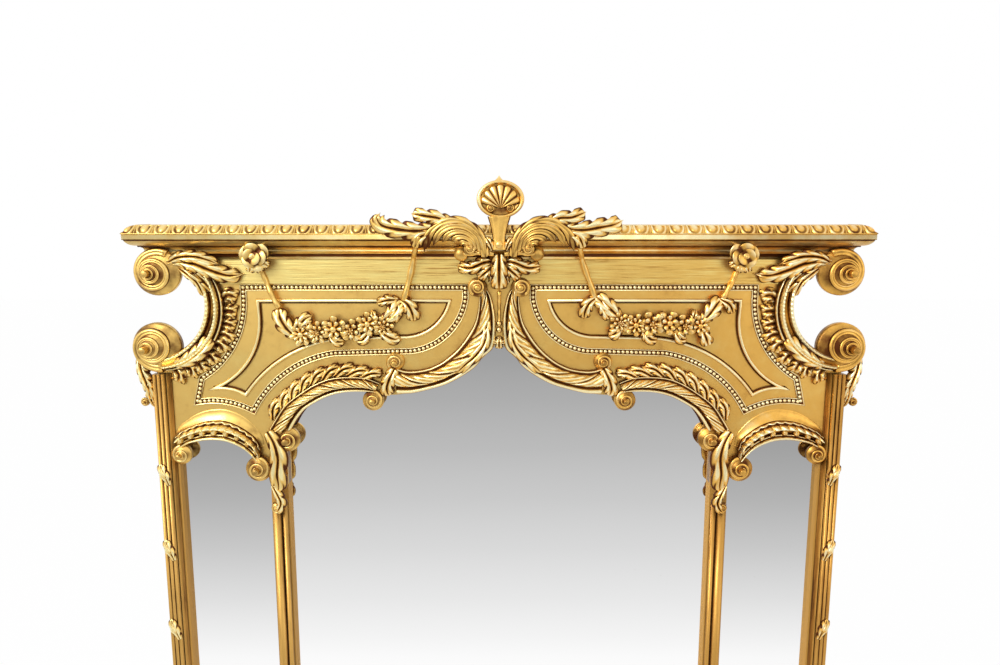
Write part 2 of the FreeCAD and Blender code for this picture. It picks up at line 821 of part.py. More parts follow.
def moulded_band(near, far, section, count, seat=0.0):
    """Moulded band between two rails: the same section, stretched to the rails' distance at each station.

    The section is a list of (share of the way from the near rail to the far one, height above the seat).
    """
    rings = []
    for here, there in zip(stations(near, count), stations(far, count)):
        ring = []
        for share, height in [(0.0, 0.0)] + section + [(1.0, 0.0)]:
            place = here + (there - here) * share
            ring.append(Vector(place.x, seat - height, place.z))
        rings.append(ring)
    return skin(rings)


def ball(x, y, z, radius, sides=10, low=-75, high=75):
    """Turned ball about an axis that faces forward, from one latitude to another, its poles flat."""
    rings = []
    steps = 5
    for number in range(steps + 1):
        latitude = math.radians(low + (high - low) * number / steps)
        reach, rise = radius * math.cos(latitude), radius * math.sin(latitude)
        turns = [2 * math.pi * side / sides for side in range(sides)]
        rings.append([Vector(x + reach * math.cos(a), y - rise, z + reach * math.sin(a)) for a in turns])
    return skin(rings)


def oval(x, z, half_width, half_height, sides, y):
    """Many-sided oval in front view."""
    turns = [2 * math.pi * side / sides for side in range(sides)]
    return [Vector(x + half_width * math.cos(a), y, z + half_height * math.sin(a)) for a in turns]


def scalloped_band(near, far, lobes, swell, height, seat=0.0):
    """Flat carved edging between two rails, its far side cut into lobes that swell right of the way."""
    shores = stations(far, lobes + 1)
    ring = []
    for here, there in zip(shores, shores[1:]):
        way = there - here
        aside = Vector(way.z, 0, -way.x).normalize() * swell
        ring += [here, here + way * 0.25 + aside, here + way * 0.75 + aside]
    ring += [shores[-1]] + stations(near, lobes + 1)[::-1]
    face = Part.Face(Part.makePolygon(ring + ring[:1]))
    face.translate(Vector(0, seat, 0))
    return face.extrude(Vector(0, -height, 0))


def spiral_turn(x, z, radius, hand, start, shrink, y, sides=12):
    """One turn of a shrinking spiral in short chords, closed by the step between its ends."""
    ring = []
    for number in range(sides + 1):
        angle = math.radians(start) + hand * 2 * math.pi * number / sides
        reach = radius * shrink ** (number / sides)
        ring.append(Vector(x + reach * math.cos(angle), y, z + reach * math.sin(angle)))
    return ring


def volute(x, z, radius, hand, start, y_seat, y_eye, turns=3, lean=(0.0, 0.0), shrink=0.66):
    """Rolled end of a scroll: each turn is smaller and stands forward of the last, with a round eye.

    lean is how far the eye lies from the centre of the largest turn, sideways and up.
    """
    step = (y_eye - y_seat) / (turns + 1)
    parts = []
    for turn in range(turns):
        reach = radius * shrink**turn
        move = 1 - shrink**turn
        middle = (x + lean[0] * move, z + lean[1] * move)
        y_low = y_seat + step * turn
        foot = spiral_turn(*middle, reach, hand, start, shrink, y_low)
        top = spiral_turn(*middle, reach * 0.9, hand, start, shrink, y_low + step)
        parts.append(skin([foot, top]))
    eye = radius * shrink**turns
    move = 1 - shrink**turns
    centre = (x + lean[0] * move, z + lean[1] * move)
    y_low = y_seat + step * turns
    rings = [oval(*centre, eye, eye, 8, y_low), oval(*centre, eye * 0.6, eye * 0.6, 8, y_low + step)]
    parts.append(skin(rings))
    return fused(parts)


def leaf(midrib, width, y_seat, rise, lift=0.0, count=5):
    """Leaf with a sunk midrib and two swelling halves, widest a third of the way along, its tip lifted."""
    spine = rail_curve(midrib)
    rings = []
    for number in range(count):
        share = number / (count - 1)
        at = spine.getParameterByLength(spine.Length * share)
        middle = spine.valueAt(at)
        way = spine.tangentAt(at)
        aside = Vector(way.z, 0, -way.x)
        half = width * (0.22 + 0.78 * math.sin(math.pi * share**0.75)) * (1 - 0.75 * share**3) / 2
        high = rise * (0.45 + 0.55 * math.sin(math.pi * share**0.75))
        base = y_seat - lift * share * share
        ring = []
        for across, up in ((-1, 0), (-0.6, 0.9), (0, 0.6), (0.6, 0.9), (1, 0)):
            place = middle + aside * (half * across)
            ring.append(Vector(place.x, base - high * up, place.z))
        rings.append(ring)
    return skin(rings)


def both(name, make):
    """The same carving on the right and, mirrored, on the left, each a piece of its own."""
    shape = make()
    carved("right_" + name, shape)
    carved("left_" + name, mirror_x(shape))


def pair(name, make):
    """A matched pair of small carvings, right and left, kept together."""
    shape = make()
    carved(name, Part.makeCompound([shape, mirror_x(shape)]))


# ---------------------------------------------------------------- upper panels



def panel_beading():
    """Bead-and-reel border of the right panel."""
    width, high = float(size.bead_width), float(size.bead_height)
    return flat_strip(border_outline(1), border_bows(1), width, high, 0.5)


def panel_moulding():
    """Astragal that stands in the sunk field of the right panel, against its wall."""
    rim = outline(field_outline(1), field_bows(1))
    width, floor = float(size.astragal_width), float(size.field_depth)
    walls = []
    for foot_inset, crest_inset in ((0, 0.3), (1, 0.7)):
        edges = []
        for inset, y in ((foot_inset, floor), (crest_inset, -float(size.astragal_height))):
            edge = rim.makeOffset2D(-float(size.seat_gap) - width * inset, 1, False, False)
            edge.translate(Vector(0, y, 0))
            edges.append(edge)
        walls.append(Part.makeLoft(edges, True, True))
    return walls[0].cut(walls[1])


pair("panel_beading", panel_beading)
pair("panel_moulding", panel_moulding)

# ---------------------------------------------------------------- ears

gap = float(size.seat_gap)
foot = float(shoulder)
ear = (float(ear_x), float(ear_z))
top_end = spot(stile_out - size.ear_bite_half, soffit)
low_end = spot(stile_out, shoulder + size.ear_bite_foot)
bite = bowed(low_end, top_end, -float(size.ear_bite_bow)).Curve
hollow_rim = (bite.Center.x, bite.Center.z, bite.Radius - 8)
scroll_section = [(0.0, 0.4), (0.1, 0.76), (0.2, 0.82), (0.3, 0.53), (0.55, 0.47), (0.68, 0.88), (0.86, 1.0)]
scroll_section = [(share, high * float(size.scroll_height)) for share, high in scroll_section + [(1.0, 0.4)]]
eye_y = -float(size.volute_projection)
bed_face = -float(tip - 26) - gap
upper_volute_z = float(bed_top) - 57
scroll_top = hollow_rim[1] + hollow_rim[2] * math.sin(math.radians(148)) + 4
lower_volute_z = foot + 287


def upper_volute(grow=0.0):
    radius = float(size.upper_volute_radius) + grow
    roll = volute(ear[0] - 6, upper_volute_z, radius, -1, 120, float(frieze_front), eye_y, lean=(26, -4))
    return clear_of_bed(roll)


def lower_volute(grow=0.0):
    radius = float(size.lower_volute_radius) + grow
    return volute(ear[0] + 14, lower_volute_z, radius, 1, -100, 0.0, eye_y, lean=(31, -3))


def c_scroll():
    near = circle_rail(*hollow_rim, 148, 262)
    far = circle_rail(*ear, float(size.scroll_outer_radius), 147, 264)
    band = moulded_band(near, far, scroll_section, 9)
    return band.cut(lower_volute(gap)).cut(upper_volute(gap))


def shellwork():
    lobes, start, end = 8, 168, 262
    chord_sag = math.cos(math.radians((end - start) / lobes / 2))
    near = circle_rail(*ear, (float(size.scroll_outer_radius) + gap) / chord_sag, start, end)
    far = circle_rail(*ear, float(size.shell_radius), start + 3, end + 2)
    return scalloped_band(near, far, lobes, 8, 14.0)


def clear_of_bed(shape):
    """Leave room for the bed moulding behind a piece that stands up in front of it."""
    low, high = float(frieze_top) - gap, float(bed_top) - gap
    return shape.cut(block(-2000, 2000, bed_face, 0, low, high))


def ear_leaf():
    """Spray of two acanthus leaves that sweeps from the upper volute over the ear and the frieze."""
    seat = float(frieze_front)
    x, z = ear[0], float(soffit)
    long = leaf([(x - 30, z + 12), (x - 95, z + 10), (x - 160, z - 12), (x - 205, z - 12)], 26, seat, 20, 6)
    high = leaf([(x - 34, z + 17), (x - 95, z + 20), (x - 150, z + 8)], 22, seat, 16, 10)
    spray = clear_of_bed(long.fuse(high)).cut(upper_volute(gap))
    return spray.cut(block(0, x - 56, -200, 0, 0, scroll_top + gap)).removeSplitter()


def side_bracket():
    """Leaf that runs down the outer side of the stile below the lower volute and ends in a curl."""
    x, z = float(moulding_out) + gap, foot
    points = [(x, z + 232), (x + 40, z + 226), (x + 30, z + 190), (x + 16, z + 176), (x + 16, z + 158)]
    points += [(x + 36, z + 148), (x, z + 134)]
    wire = outline(points, {1: (3, -1), 2: (2, 1), 5: (5, -1)})
    return Part.Face(wire).extrude(Vector(0, -18, 0)).cut(lower_volute(gap))


both("c_scroll", c_scroll)
pair("upper_volutes", upper_volute)
pair("lower_volutes", lower_volute)
pair("ear_shellwork", shellwork)
both("ear_leaf", ear_leaf)
pair("side_brackets", side_bracket)

# ---------------------------------------------------------------- scrolls round the arches

band_high = float(size.band_height)
band_section = [(0.0, 0.45), (0.14, 0.6), (0.24, 0.45), (0.45, 0.95), (0.75, 1.0), (1.0, 0.3)]
band_section = [(share, high * band_high) for share, high in band_section]
cusp = float(cusp_half)
spread = cusp / 262
spring = float(mullion_in)
rod_half = 4.0


def upper_arch_scroll():
    """Scroll from the crest down the middle of the arch and out to the cusp, rolled at both ends."""
    near = [(55, 240), (119, 199), (204, 175), (242, 173)]
    near = [(30, 424), (18, 400), (rod_half + 4, 348), (13, 288)] + [(x * spread, z) for x, z in near]
    far = [(118, 263), (170, 234), (224, 228), (250, 236)]
    far = [(50, 420), (48, 395), (56, 347), (76, 311)] + [(x * spread, z) for x, z in far]
    rails = [rail_curve([(x, foot + z) for x, z in side]) for side in (near, far)]
    band = moulded_band(*rails, band_section, 9)
    inner = volute(cusp - 16, foot + 248, 19, 1, -90, 0.0, -band_high - 10, turns=2)
    upper = volute(50, foot + 428, 23, 1, -60, float(frieze_front), -band_high - 14, turns=2)
    return fused([band, inner, upper])


def lower_arch_scroll():
    """Scroll from the cusp over the lobe of the arch to the mullion, rolled at both ends."""
    near = [(cusp + 30, 176), (cusp + 94, 177.5), (cusp + 154, 163), (cusp + 203, 133.5), (spring - 16, 84)]
    far = [(cusp + 20, 200), (cusp + 104, 215), (cusp + 168, 203), (cusp + 248, 147), (spring + 40, 85)]
    rails = [rail_curve([(x, foot + z) for x, z in side]) for side in (near, far)]
    band = moulded_band(*rails, band_section, 9)
    inner = volute(cusp + 38, foot + 159, 26, 1, 100, 0.0, -band_high - 6, turns=2)
    outer = volute(spring - 6, foot + 62, 30, -1, 60, 0.0, -band_high - 10, turns=2)
    return fused([band, inner, outer])


def arch_leafage():
    """Pierced leaf edging along the outside of the lower scroll."""
    near = [(cusp + 20, 200.5), (cusp + 104, 215.5), (cusp + 168, 203.5), (cusp + 248.5, 147.5)]
    near.append((spring + 40.5, 85.5))
    far = [(cusp + 22, 238), (cusp + 104, 250.6), (cusp + 164, 240), (cusp + 212, 219), (cusp + 272, 171)]
    far.append((spring + 52, 129))
    rails = [rail_curve([(x + 0.3, foot + z + 0.6) for x, z in side]) for side in (near, far)]
    return scalloped_band(*rails, 9, -6, 13.0)


def side_arch_scroll():
    """Wrapped band over a side opening, with a small roll at the stile and a larger one at the mullion."""
    near = [(13, 41), (55, 56), (84, 59), (115, 56), (167, 31), (201, -9)]
    far = [(-3, 67.5), (35, 92), (88, 107), (154, 92), (189, 65), (199, 44)]
    near = [(float(stile_in) - in_from_stile, foot + z) for in_from_stile, z in near]
    far = [(float(stile_in) - in_from_stile, foot + z) for in_from_stile, z in far]
    band = moulded_band(rail_curve(near), rail_curve(far), band_section, 9)
    outer = volute(float(stile_in) - 10, foot + 23, 25, -1, 90, 0.0, -band_high - 10, turns=2)
    inner = volute(float(mullion_out) + 25, foot - 14, 31, 1, 100, 0.0, -band_high - 12, turns=2)
    return fused([band, outer, inner])


def leaf_drop():
    """Drop of overlapping leaves where the arches meet on the mullion, curled at its foot."""
    x, z = float(mullion_mid), foot
    shape = [(x + 27, z + 83), (x + 6, z + 83), (x - 27, z + 20), (x - 24, z - 60), (x - 24, z - 98)]
    shape += [(x - 16, z - 112), (x + 4, z - 126), (x + 20, z - 100), (x + 27, z - 82)]
    shape += [(x + 2, z - 62), (x + 18, z + 26)]
    raised = Part.Face(outline(shape, {5: (6, 1), 6: (6, 1), 7: (3, 1)}))
    raised.translate(Vector(0, -float(size.small_moulding_height), 0))
    front = raised.extrude(Vector(0, -14, 0))
    seated = raised.extrude(Vector(0, float(size.small_moulding_height), 0))
    seated = seated.cut(block(0, 2000, -100, 100, 0, drop_seat + gap))
    whole = front.fuse(seated)
    rolls = [(spring - 6, foot + 62, 30 + gap), (float(mullion_out) + 25, foot - 14, 31 + gap)]
    for roll_x, roll_z, radius in rolls:
        rim = oval(roll_x, roll_z, radius, radius, 24, 1)
        whole = whole.cut(Part.Face(Part.makePolygon(rim + rim[:1])).extrude(Vector(0, -80, 0)))
    return whole.removeSplitter()


def stile_ties():
    """Rosette and two leaf ties that cross the reeds of the stile."""
    x, seat = float(moulding_out), -float(size.moulding_height) - gap
    pieces = []
    for drop in (105, 302, 482):
        z = foot - drop
        points = [(x - 4, z + 22), (x - 16, z + 20), (x - 24, z + 8), (x - 22, z - 12), (x - 12, z - 24)]
        points += [(x - 3, z - 20), (x + 3, z - 8), (x + 3, z + 10)]
        face = Part.Face(outline(points, {}))
        face.translate(Vector(0, seat, 0))
        pieces.append(face.extrude(Vector(0, -8, 0)))
    return Part.makeCompound(pieces)


def clear_of_moulding(shape):
    """Leave room for the stile's reeds behind a piece that reaches over them."""
    edge = moulding_out - size.moulding_width - gap
    return shape.cut(block(edge, 2000, -float(size.moulding_height) - gap, 100, 0, stile_moulding_top + gap))


both("upper_arch_scroll", upper_arch_scroll)
both("lower_arch_scroll", lower_arch_scroll)
pair("arch_leafage", arch_leafage)
both("side_arch_scroll", lambda: clear_of_moulding(side_arch_scroll()))
pair("leaf_drops", leaf_drop)
pair("stile_ties", stile_ties)


def apex_pendant():
    """Rod over the joint of the two upper scrolls, with two balls and a small fan at the arch's point."""
    low = foot + 292
    rod = block(-rod_half, rod_half, -16, 0, low, foot + 420)
    half_fan = [(5, low + 25), (15, low + 20), (21, low + 8), (20, low - 4), (11, low - 11)]
    fan = half_fan + [(0, low - 13)] + [(-x, z) for x, z in half_fan[::-1]]
    fan = Part.Face(outline(fan, {}))
    fan.translate(Vector(0, -16, 0))
    parts = [rod, fan.extrude(Vector(0, -12, 0))]
    parts += [ball(0, -12, low + rise, 6.2, 8) for rise in (34, 49)]
    return fused(parts)


carved("apex_pendant", apex_pendant())

# ---------------------------------------------------------------- crest

crest_y = -float(size.crest_projection)
cornice_face = -float(tip) - gap
medal_z = float(cornice_top + size.medallion_rise)
medal = (float(size.medallion_half_width), float(size.medallion_half_height))


def cartouche():
    """Oval dished cartouche with a raised rim, a scallop shell in the dish and a small finial."""
    steps = ((0, 8), (0, -3), (3, -6), (8, -6), (11, -1))
    rings = [oval(0, medal_z, medal[0] - inset, medal[1] - inset, 28, cornice_face + y) for inset, y in steps]
    disc = skin(rings)
    tall = float(size.finial_height)
    tip_points = [(-14, medal_z + medal[1] - 4), (0, medal_z + medal[1] + tall), (14, medal_z + medal[1] - 4)]
    finial = Part.Face(outline(tip_points, {}))
    finial.translate(Vector(0, cornice_face + 6, 0))
    return fused([disc, finial.extrude(Vector(0, -10, 0)), crest_shell()])


def crest_shell():
    """Scallop shell of seven ribs that fans up from the foot of the dish."""
    hub = medal_z - 24
    ring = []
    for number in range(15):
        angle = math.radians(160 - number * 10)
        reach = (40 if number % 2 else 46) - 6 * abs(math.sin(angle))
        ring.append((reach * math.cos(angle), hub + reach * math.sin(angle) * 1.1))
    ring += [(10, hub - 9), (-10, hub - 9)]
    face = Part.Face(outline(ring, {}))
    face.translate(Vector(0, cornice_face, 0))
    return face.extrude(Vector(0, -9, 0))


def keystone():
    """Smooth shaped neck in front of the cornice that carries the cartouche, with a round cabochon."""
    top, low = float(cornice_top) + 16, float(bed_top) - 5
    front = [(-26, top), (-14, low + 28), (-16, low), (16, low), (14, low + 28), (26, top)]
    neck = Part.Face(outline(front, {0: (3, -1), 4: (3, -1)}))
    neck.translate(Vector(0, cornice_face, 0))
    neck = neck.extrude(Vector(0, crest_y - cornice_face, 0))
    heel = block(-14, 14, cornice_face, bed_face, low, bed_top)
    cabochon = ball(0, crest_y + 2, low + 12, 9, 8)
    hollow = oval(0, medal_z, medal[0] + gap, medal[1] + gap, 28, crest_y - 10)
    seat = Part.Face(Part.makePolygon(hollow + hollow[:1])).extrude(Vector(0, 60, 0))
    return fused([neck.cut(seat), heel, cabochon])


def crest_leaf(tip_points):
    """Acanthus leaf that rises beside the keystone, arches over and runs out along the cornice."""
    z = float(cornice_top)
    rise = [(36, z - 46), (56, z + 2), (112, z + 20), (170, z - 2)]
    main = leaf(rise + tip_points, 44, cornice_face, 18, 4, 9)
    lobe = leaf([(112, z + 20), (158, z + 31), (196, z + 42)], 20, cornice_face, 12, 2)
    lower = leaf([(52, z - 14), (112, z - 20), (182, z - 44)], 30, cornice_face, 12, 2)
    return fused([main, lobe, lower])


def crest_bracket():
    """Scrolled bar across the bed moulding with a ball at each end."""
    back_face = bed_face
    radius = float(size.bracket_ball_radius)
    half = float(size.bracket_spread) / 2
    z = float(frieze_top) + 14.5
    bar = block(-half, half, back_face - 16, back_face, z - 8, z + 8)
    balls = [ball(x, back_face - radius, z, radius) for x in (-half, half)]
    return fused([bar] + balls)


def bellflower():
    """Hanging bellflower with a leaf to each side, flat against the frieze."""
    top = float(frieze_top) - gap
    half_bell = [(13, top), (19, top - 16), (17, top - 34), (10, top - 54), (6, top - 67)]
    points = half_bell + [(0, top - 71)] + [(-x, z) for x, z in half_bell[::-1]]
    face = Part.Face(outline(points, {}))
    face.translate(Vector(0, float(frieze_front), 0))
    bell = face.extrude(Vector(0, -20, 0))
    side = leaf([(12, top - 18), (46, top - 26), (98, top - 14)], 22, float(frieze_front), 14, 4)
    return fused([bell, side, mirror_x(side)])


carved("crest_cartouche", cartouche())
carved("crest_keystone", keystone())
high = float(cornice_top)
carved("left_crest_leaf", mirror_x(crest_leaf([(226, high - 8), (262, high + 14), (258, high + 30)])))
carved("right_crest_leaf", crest_leaf([(224, high + 2), (268, high + 9)]))
carved("crest_bracket", crest_bracket())
carved("pendant_bellflower", bellflower())

# ---------------------------------------------------------------- garlands


def flower(x, z, radius, seat, rise):
    """Five-petalled flower with a raised eye, cut in flat facets."""
    ring = []
    for number in range(10):
        angle = math.radians(36 * number)
        reach = radius * (0.72 if number % 2 == 0 else 1.05)
        ring.append(Vector(x + reach * math.cos(angle), seat, z + reach * math.sin(angle)))
    petals = Part.Face(Part.makePolygon(ring + ring[:1])).extrude(Vector(0, -rise * 0.6, 0))
    eye = []
    for share, up in ((0.45, 0.5), (0.3, 1.0)):
        eye.append(oval(x, z, radius * share, radius * share, 6, seat - rise * up))
    return petals.fuse(skin(eye))


garland_seat = -float(size.bead_height) - gap
boss_x = ear[0] - 225
boss_z = float(frieze_top) + 9


def garland(side, flowers, leaves):
    """Swag of flowers and leaves on a slack stem between its two hanging points."""
    parts = [flower(boss_x - x, foot + z, radius, garland_seat, radius * 1.33) for x, z, radius in flowers]
    parts += [leaf([(boss_x - x, foot + z) for x, z in rib], wide, garland_seat, 16) for rib, wide in leaves]
    swag = fused(parts)
    return mirror_x(swag) if side < 0 else swag


def garland_stem(points):
    """Slim stalk with a leaf at its foot, from a hanging point down to the swag."""
    return leaf([(boss_x - x, foot + z) for x, z in points], 13, float(frieze_front) - gap, 10)


def garland_boss(x, z):
    """Half ball against the bed moulding."""
    seat = bed_face
    half_ball = ball(x, seat, z, float(size.boss_radius), 12, 0, 75)
    return half_ball.cut(block(x - 99, x + 99, cornice_face, 0, float(bed_top) - gap, z + 99))


# for each side: flowers (in from the ball, above the shoulder, radius), leaves (midrib, width), inner stalk
SWAGS = {
    "left": (
        -1,
        [(106, 318, 20), (144, 322, 23), (183, 330, 25), (223, 326, 25), (262, 343, 23), (298, 336, 20)],
        [
            ([(94, 312), (68, 345), (56, 380)], 34),
            ([(292, 345), (318, 366), (346, 398)], 34),
            ([(288, 326), (313, 314), (336, 312)], 26),
        ],
        [(346, 402), (362, 450), (371, 489)],
    ),
    "right": (
        1,
        [(100, 338, 20), (136, 338, 23), (172, 345, 25), (212, 342, 25), (250, 340, 23), (286, 345, 20)],
        [
            ([(94, 348), (72, 376), (48, 402)], 34),
            ([(284, 356), (313, 378), (346, 408)], 36),
            ([(94, 330), (84, 306), (76, 288)], 20),
        ],
        [(347, 412), (362, 452), (376, 489)],
    ),
}
stalks = []
for word, (side, flowers, leaves, inner_stem) in SWAGS.items():
    carved(word + "_garland", garland(side, flowers, leaves))
    leaf_tip = leaves[0][0][-1]
    ball_foot = (4, boss_z - foot - float(size.boss_radius) - 4)
    for points in ([(leaf_tip[0] - 3, leaf_tip[1] + 4), (16, 440), ball_foot], inner_stem):
        stalk = garland_stem(points)
        stalks.append(mirror_x(stalk) if side < 0 else stalk)
carved("garland_stems", Part.makeCompound(stalks))
pair("garland_bosses", lambda: garland_boss(boss_x, boss_z))

# ---------------------------------------------------------------- write the parts

doc.recompute()
faults = [thing.Label for thing in doc.Objects if "Invalid" in thing.State or "Error" in thing.State]
for thing in subparts:
    if thing.Shape.isNull() or not thing.Shape.isValid():
        faults.append(thing.Label + " (shape)")
if faults:
    raise SystemExit("these did not build: " + ", ".join(faults))
os.makedirs("parts", exist_ok=True)
for thing in subparts:
    thing.Shape.exportStep(os.path.join("parts", thing.Label + ".step"))
print(len(subparts), "sub-parts written")
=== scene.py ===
import math

import bpy
import numpy as np
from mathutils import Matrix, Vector


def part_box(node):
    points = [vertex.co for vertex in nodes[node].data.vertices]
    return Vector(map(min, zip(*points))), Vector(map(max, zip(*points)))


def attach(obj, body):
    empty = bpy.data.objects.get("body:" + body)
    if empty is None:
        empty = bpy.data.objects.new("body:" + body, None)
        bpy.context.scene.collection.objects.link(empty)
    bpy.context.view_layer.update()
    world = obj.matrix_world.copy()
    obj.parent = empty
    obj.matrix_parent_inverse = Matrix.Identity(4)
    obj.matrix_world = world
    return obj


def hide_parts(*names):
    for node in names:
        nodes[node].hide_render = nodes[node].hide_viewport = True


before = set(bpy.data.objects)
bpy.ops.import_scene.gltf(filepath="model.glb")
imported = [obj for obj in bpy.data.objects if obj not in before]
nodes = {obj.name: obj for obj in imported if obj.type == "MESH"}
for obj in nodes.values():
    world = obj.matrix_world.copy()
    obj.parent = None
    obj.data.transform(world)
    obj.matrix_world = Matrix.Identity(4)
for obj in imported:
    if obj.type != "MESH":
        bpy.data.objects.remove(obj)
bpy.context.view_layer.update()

# ------------------------------------------------------------------ carcass
# Stiles, mullions, rails and battens are planed softwood, mortised and tenoned together.
# Only their sides and backs are left bare; they were brushed with a thin brown stain.


class Value:
    """A number socket of a finish; sums and products of it add the Math nodes."""

    def __init__(self, finish, socket):
        self.finish, self.socket = finish, socket

    def math(self, operation, *others, clamp=False):
        settings = {"operation": operation, "use_clamp": clamp}
        return self.finish.node("ShaderNodeMath", settings, self, *others)

    def __add__(self, other):
        return self.math("ADD", other)

    def __sub__(self, other):
        return self.math("SUBTRACT", other)

    def __rsub__(self, other):
        return self.finish.node("ShaderNodeMath", {"operation": "SUBTRACT"}, other, self)

    def __mul__(self, other):
        return self.math("MULTIPLY", other)

    def __truediv__(self, other):
        return self.math("DIVIDE", other)

    def clip(self):
        return self.math("ADD", 0.0, clamp=True)

    def step(self, low, high):
        """Smooth ramp from 0 at low to 1 at high."""
        settings = {"interpolation_type": "SMOOTHSTEP"}
        return self.finish.node("ShaderNodeMapRange", settings, self, low, high, 0.0, 1.0)

    __radd__ = __add__
    __rmul__ = __mul__


class Nodes:
    """The node tree of a finish or of the studio's air, grown node by node."""

    def __init__(self, owner):
        owner.use_nodes = True
        self.tree = owner.node_tree

    def node(self, kind, settings, *inputs, out=0, **named):
        """Add a node: settings first, then its sockets in order or by name, as values or links."""
        made = self.tree.nodes.new(kind)
        for name, choice in settings.items():
            setattr(made, name, choice)
        for place, given in list(enumerate(inputs)) + [(k.replace("_", " "), v) for k, v in named.items()]:
            if given is None:
                continue
            if isinstance(given, Value):
                self.tree.links.new(given.socket, made.inputs[place])
            else:
                made.inputs[place].default_value = given
        return Value(self, made.outputs[out])


class Finish(Nodes):
    """A material in the making: it starts with the surface shader and grows node by node."""

    def __init__(self, name, **constants):
        self.material = bpy.data.materials.new(name)
        super().__init__(self.material)
        self.shader = self.tree.nodes["Principled BSDF"]
        for socket, amount in constants.items():
            self.shader.inputs[socket.replace("_", " ")].default_value = amount

    def where(self, stretch=(1, 1, 1)):
        """Object coordinates in metres, stretched."""
        place = self.node("ShaderNodeTexCoord", {}, out=3)
        return self.node("ShaderNodeMapping", {}, place, Scale=stretch)

    def along(self, axis):
        """Object coordinate along one axis: 0 to the right, 1 to the wall, 2 up."""
        return self.node("ShaderNodeSeparateXYZ", {}, self.where(), out=axis)

    def noise(self, scale, detail=4.0, stretch=(1, 1, 1), roughness=0.55):
        """Cloudy noise of a scale per metre, from 0 to 1."""
        shape = {"Scale": scale, "Detail": detail, "Roughness": roughness}
        return self.node("ShaderNodeTexNoise", {}, Vector=self.where(stretch), **shape)

    def mix(self, share, one, other):
        """Colour between two colours, which are the node's sockets 6 and 7."""
        return self.node("ShaderNodeMix", {"data_type": "RGBA"}, share, *[None] * 5, one, other, out=2)

    def ramp(self, share, stops):
        """Colour by a share: stops of place and colour, from place 0 to place 1."""
        made = self.node("ShaderNodeValToRGB", {}, share)
        scale = made.socket.node.color_ramp.elements
        for end, (place, tint) in zip(scale, (stops[0], stops[-1])):
            end.position, end.color = place, tint
        for place, tint in stops[1:-1]:
            scale.new(place).color = tint
        return made

    def bump(self, height, strength, distance):
        """Small relief in the surface, as a normal."""
        return self.node("ShaderNodeBump", {}, Strength=strength, Distance=distance, Height=height)

    def use(self, **links):
        for name, value in links.items():
            self.tree.links.new(value.socket, self.shader.inputs[name.replace("_", " ")])
        return self.material


def colour(red, green, blue):
    """Screen colour, 0 to 255, as the shader's linear colour."""
    share = np.array([red, green, blue]) / 255
    linear = np.where(share <= 0.04045, share / 12.92, ((share + 0.055) / 1.055) ** 2.4)
    return (*[float(part) for part in linear], 1.0)


def wood(name, pale, dark, stretch, gilt_before=-1.0):
    """Planed softwood: long streaks along the grain; in front of gilt_before, in metres, it is gilded."""
    finish = Finish(name, Metallic=0.0)
    streak = finish.noise(9.0, 6.0, stretch)
    tone = finish.mix(streak.step(0.3, 0.7), pale, dark)
    tone = finish.mix(finish.along(1).step(gilt_before + 0.0005, gilt_before), tone, colour(196, 146, 62))
    rough = finish.noise(40.0) * 0.2 + 0.55
    return finish.use(Base_Color=tone, Roughness=rough, Normal=finish.bump(streak, 0.25, 0.0006))


upright_grain, level_grain = (14, 14, 0.8), (0.8, 14, 14)
stained = colour(118, 82, 50), colour(72, 46, 27)
# the lips of the glass rebates, in front of this depth in metres, are gilded with the face
plate_face = 0.019
upright_wood = wood("stained_upright_wood", *stained, upright_grain, plate_face)
level_wood = wood("stained_level_wood", *stained, level_grain, plate_face)
board_wood = wood("pine_back_boards", colour(168, 132, 88), colour(128, 94, 58), upright_grain)


def dress(material, slot, *names):
    """Give CAD nodes, which stay as they are, their finish."""
    for name in names:
        node = nodes[name]
        node.data.materials.clear()
        node.data.materials.append(material)


dress(upright_wood, "carcass_wood", "left_stile", "right_stile", "left_mullion", "right_mullion")
dress(level_wood, "carcass_wood", "bottom_rail", "top_rail", "cross_batten", "cornice_top_board")
dress(upright_wood, "carcass_wood", "glazing_blocks")
dress(board_wood, "back_boards", "left_backboard", "centre_backboard", "right_backboard")

# ------------------------------------------------------------------ mirror plates
# Three silvered plates sit in the rebates, held from behind by blocks. The silvering is bright, with
# a few specks of foxing here and there; the narrow plates are painted a little darker toward the top,
# a painted reflection of the darker room.

foxed_brown, white_silver, painted_reflection_grey = (0.45, 0.42, 0.36, 1), (0.98, 0.98, 0.98, 1), (0.72, 0.72, 0.72, 1)


def foxing(finish):
    """Small dark specks, only where a broad noise is high."""
    return finish.noise(260.0, 2.0).step(0.74, 0.80) * finish.noise(3.0).step(0.55, 0.7)


silvering = Finish("silvered_glass", Metallic=1.0)
speck = foxing(silvering)
glass_tone = silvering.mix(speck, (0.99, 0.99, 0.99, 1), foxed_brown)
silvering.use(Base_Color=glass_tone, Roughness=speck * 0.3 + 0.01)
dress(silvering.material, "mirror_glass", "centre_plate")

dimmer = Finish("dimmer_silvered_glass", Metallic=1.0)
speck = foxing(dimmer)
# painted reflection: the narrow plates' silver turns grey toward the top
painted_reflection_tone = dimmer.mix(dimmer.along(2).step(0.56, 1.2), white_silver, painted_reflection_grey)
dimmer.use(Base_Color=dimmer.mix(speck, painted_reflection_tone, foxed_brown), Roughness=speck * 0.3 + 0.01)
dress(dimmer.material, "mirror_glass", "left_plate", "right_plate")
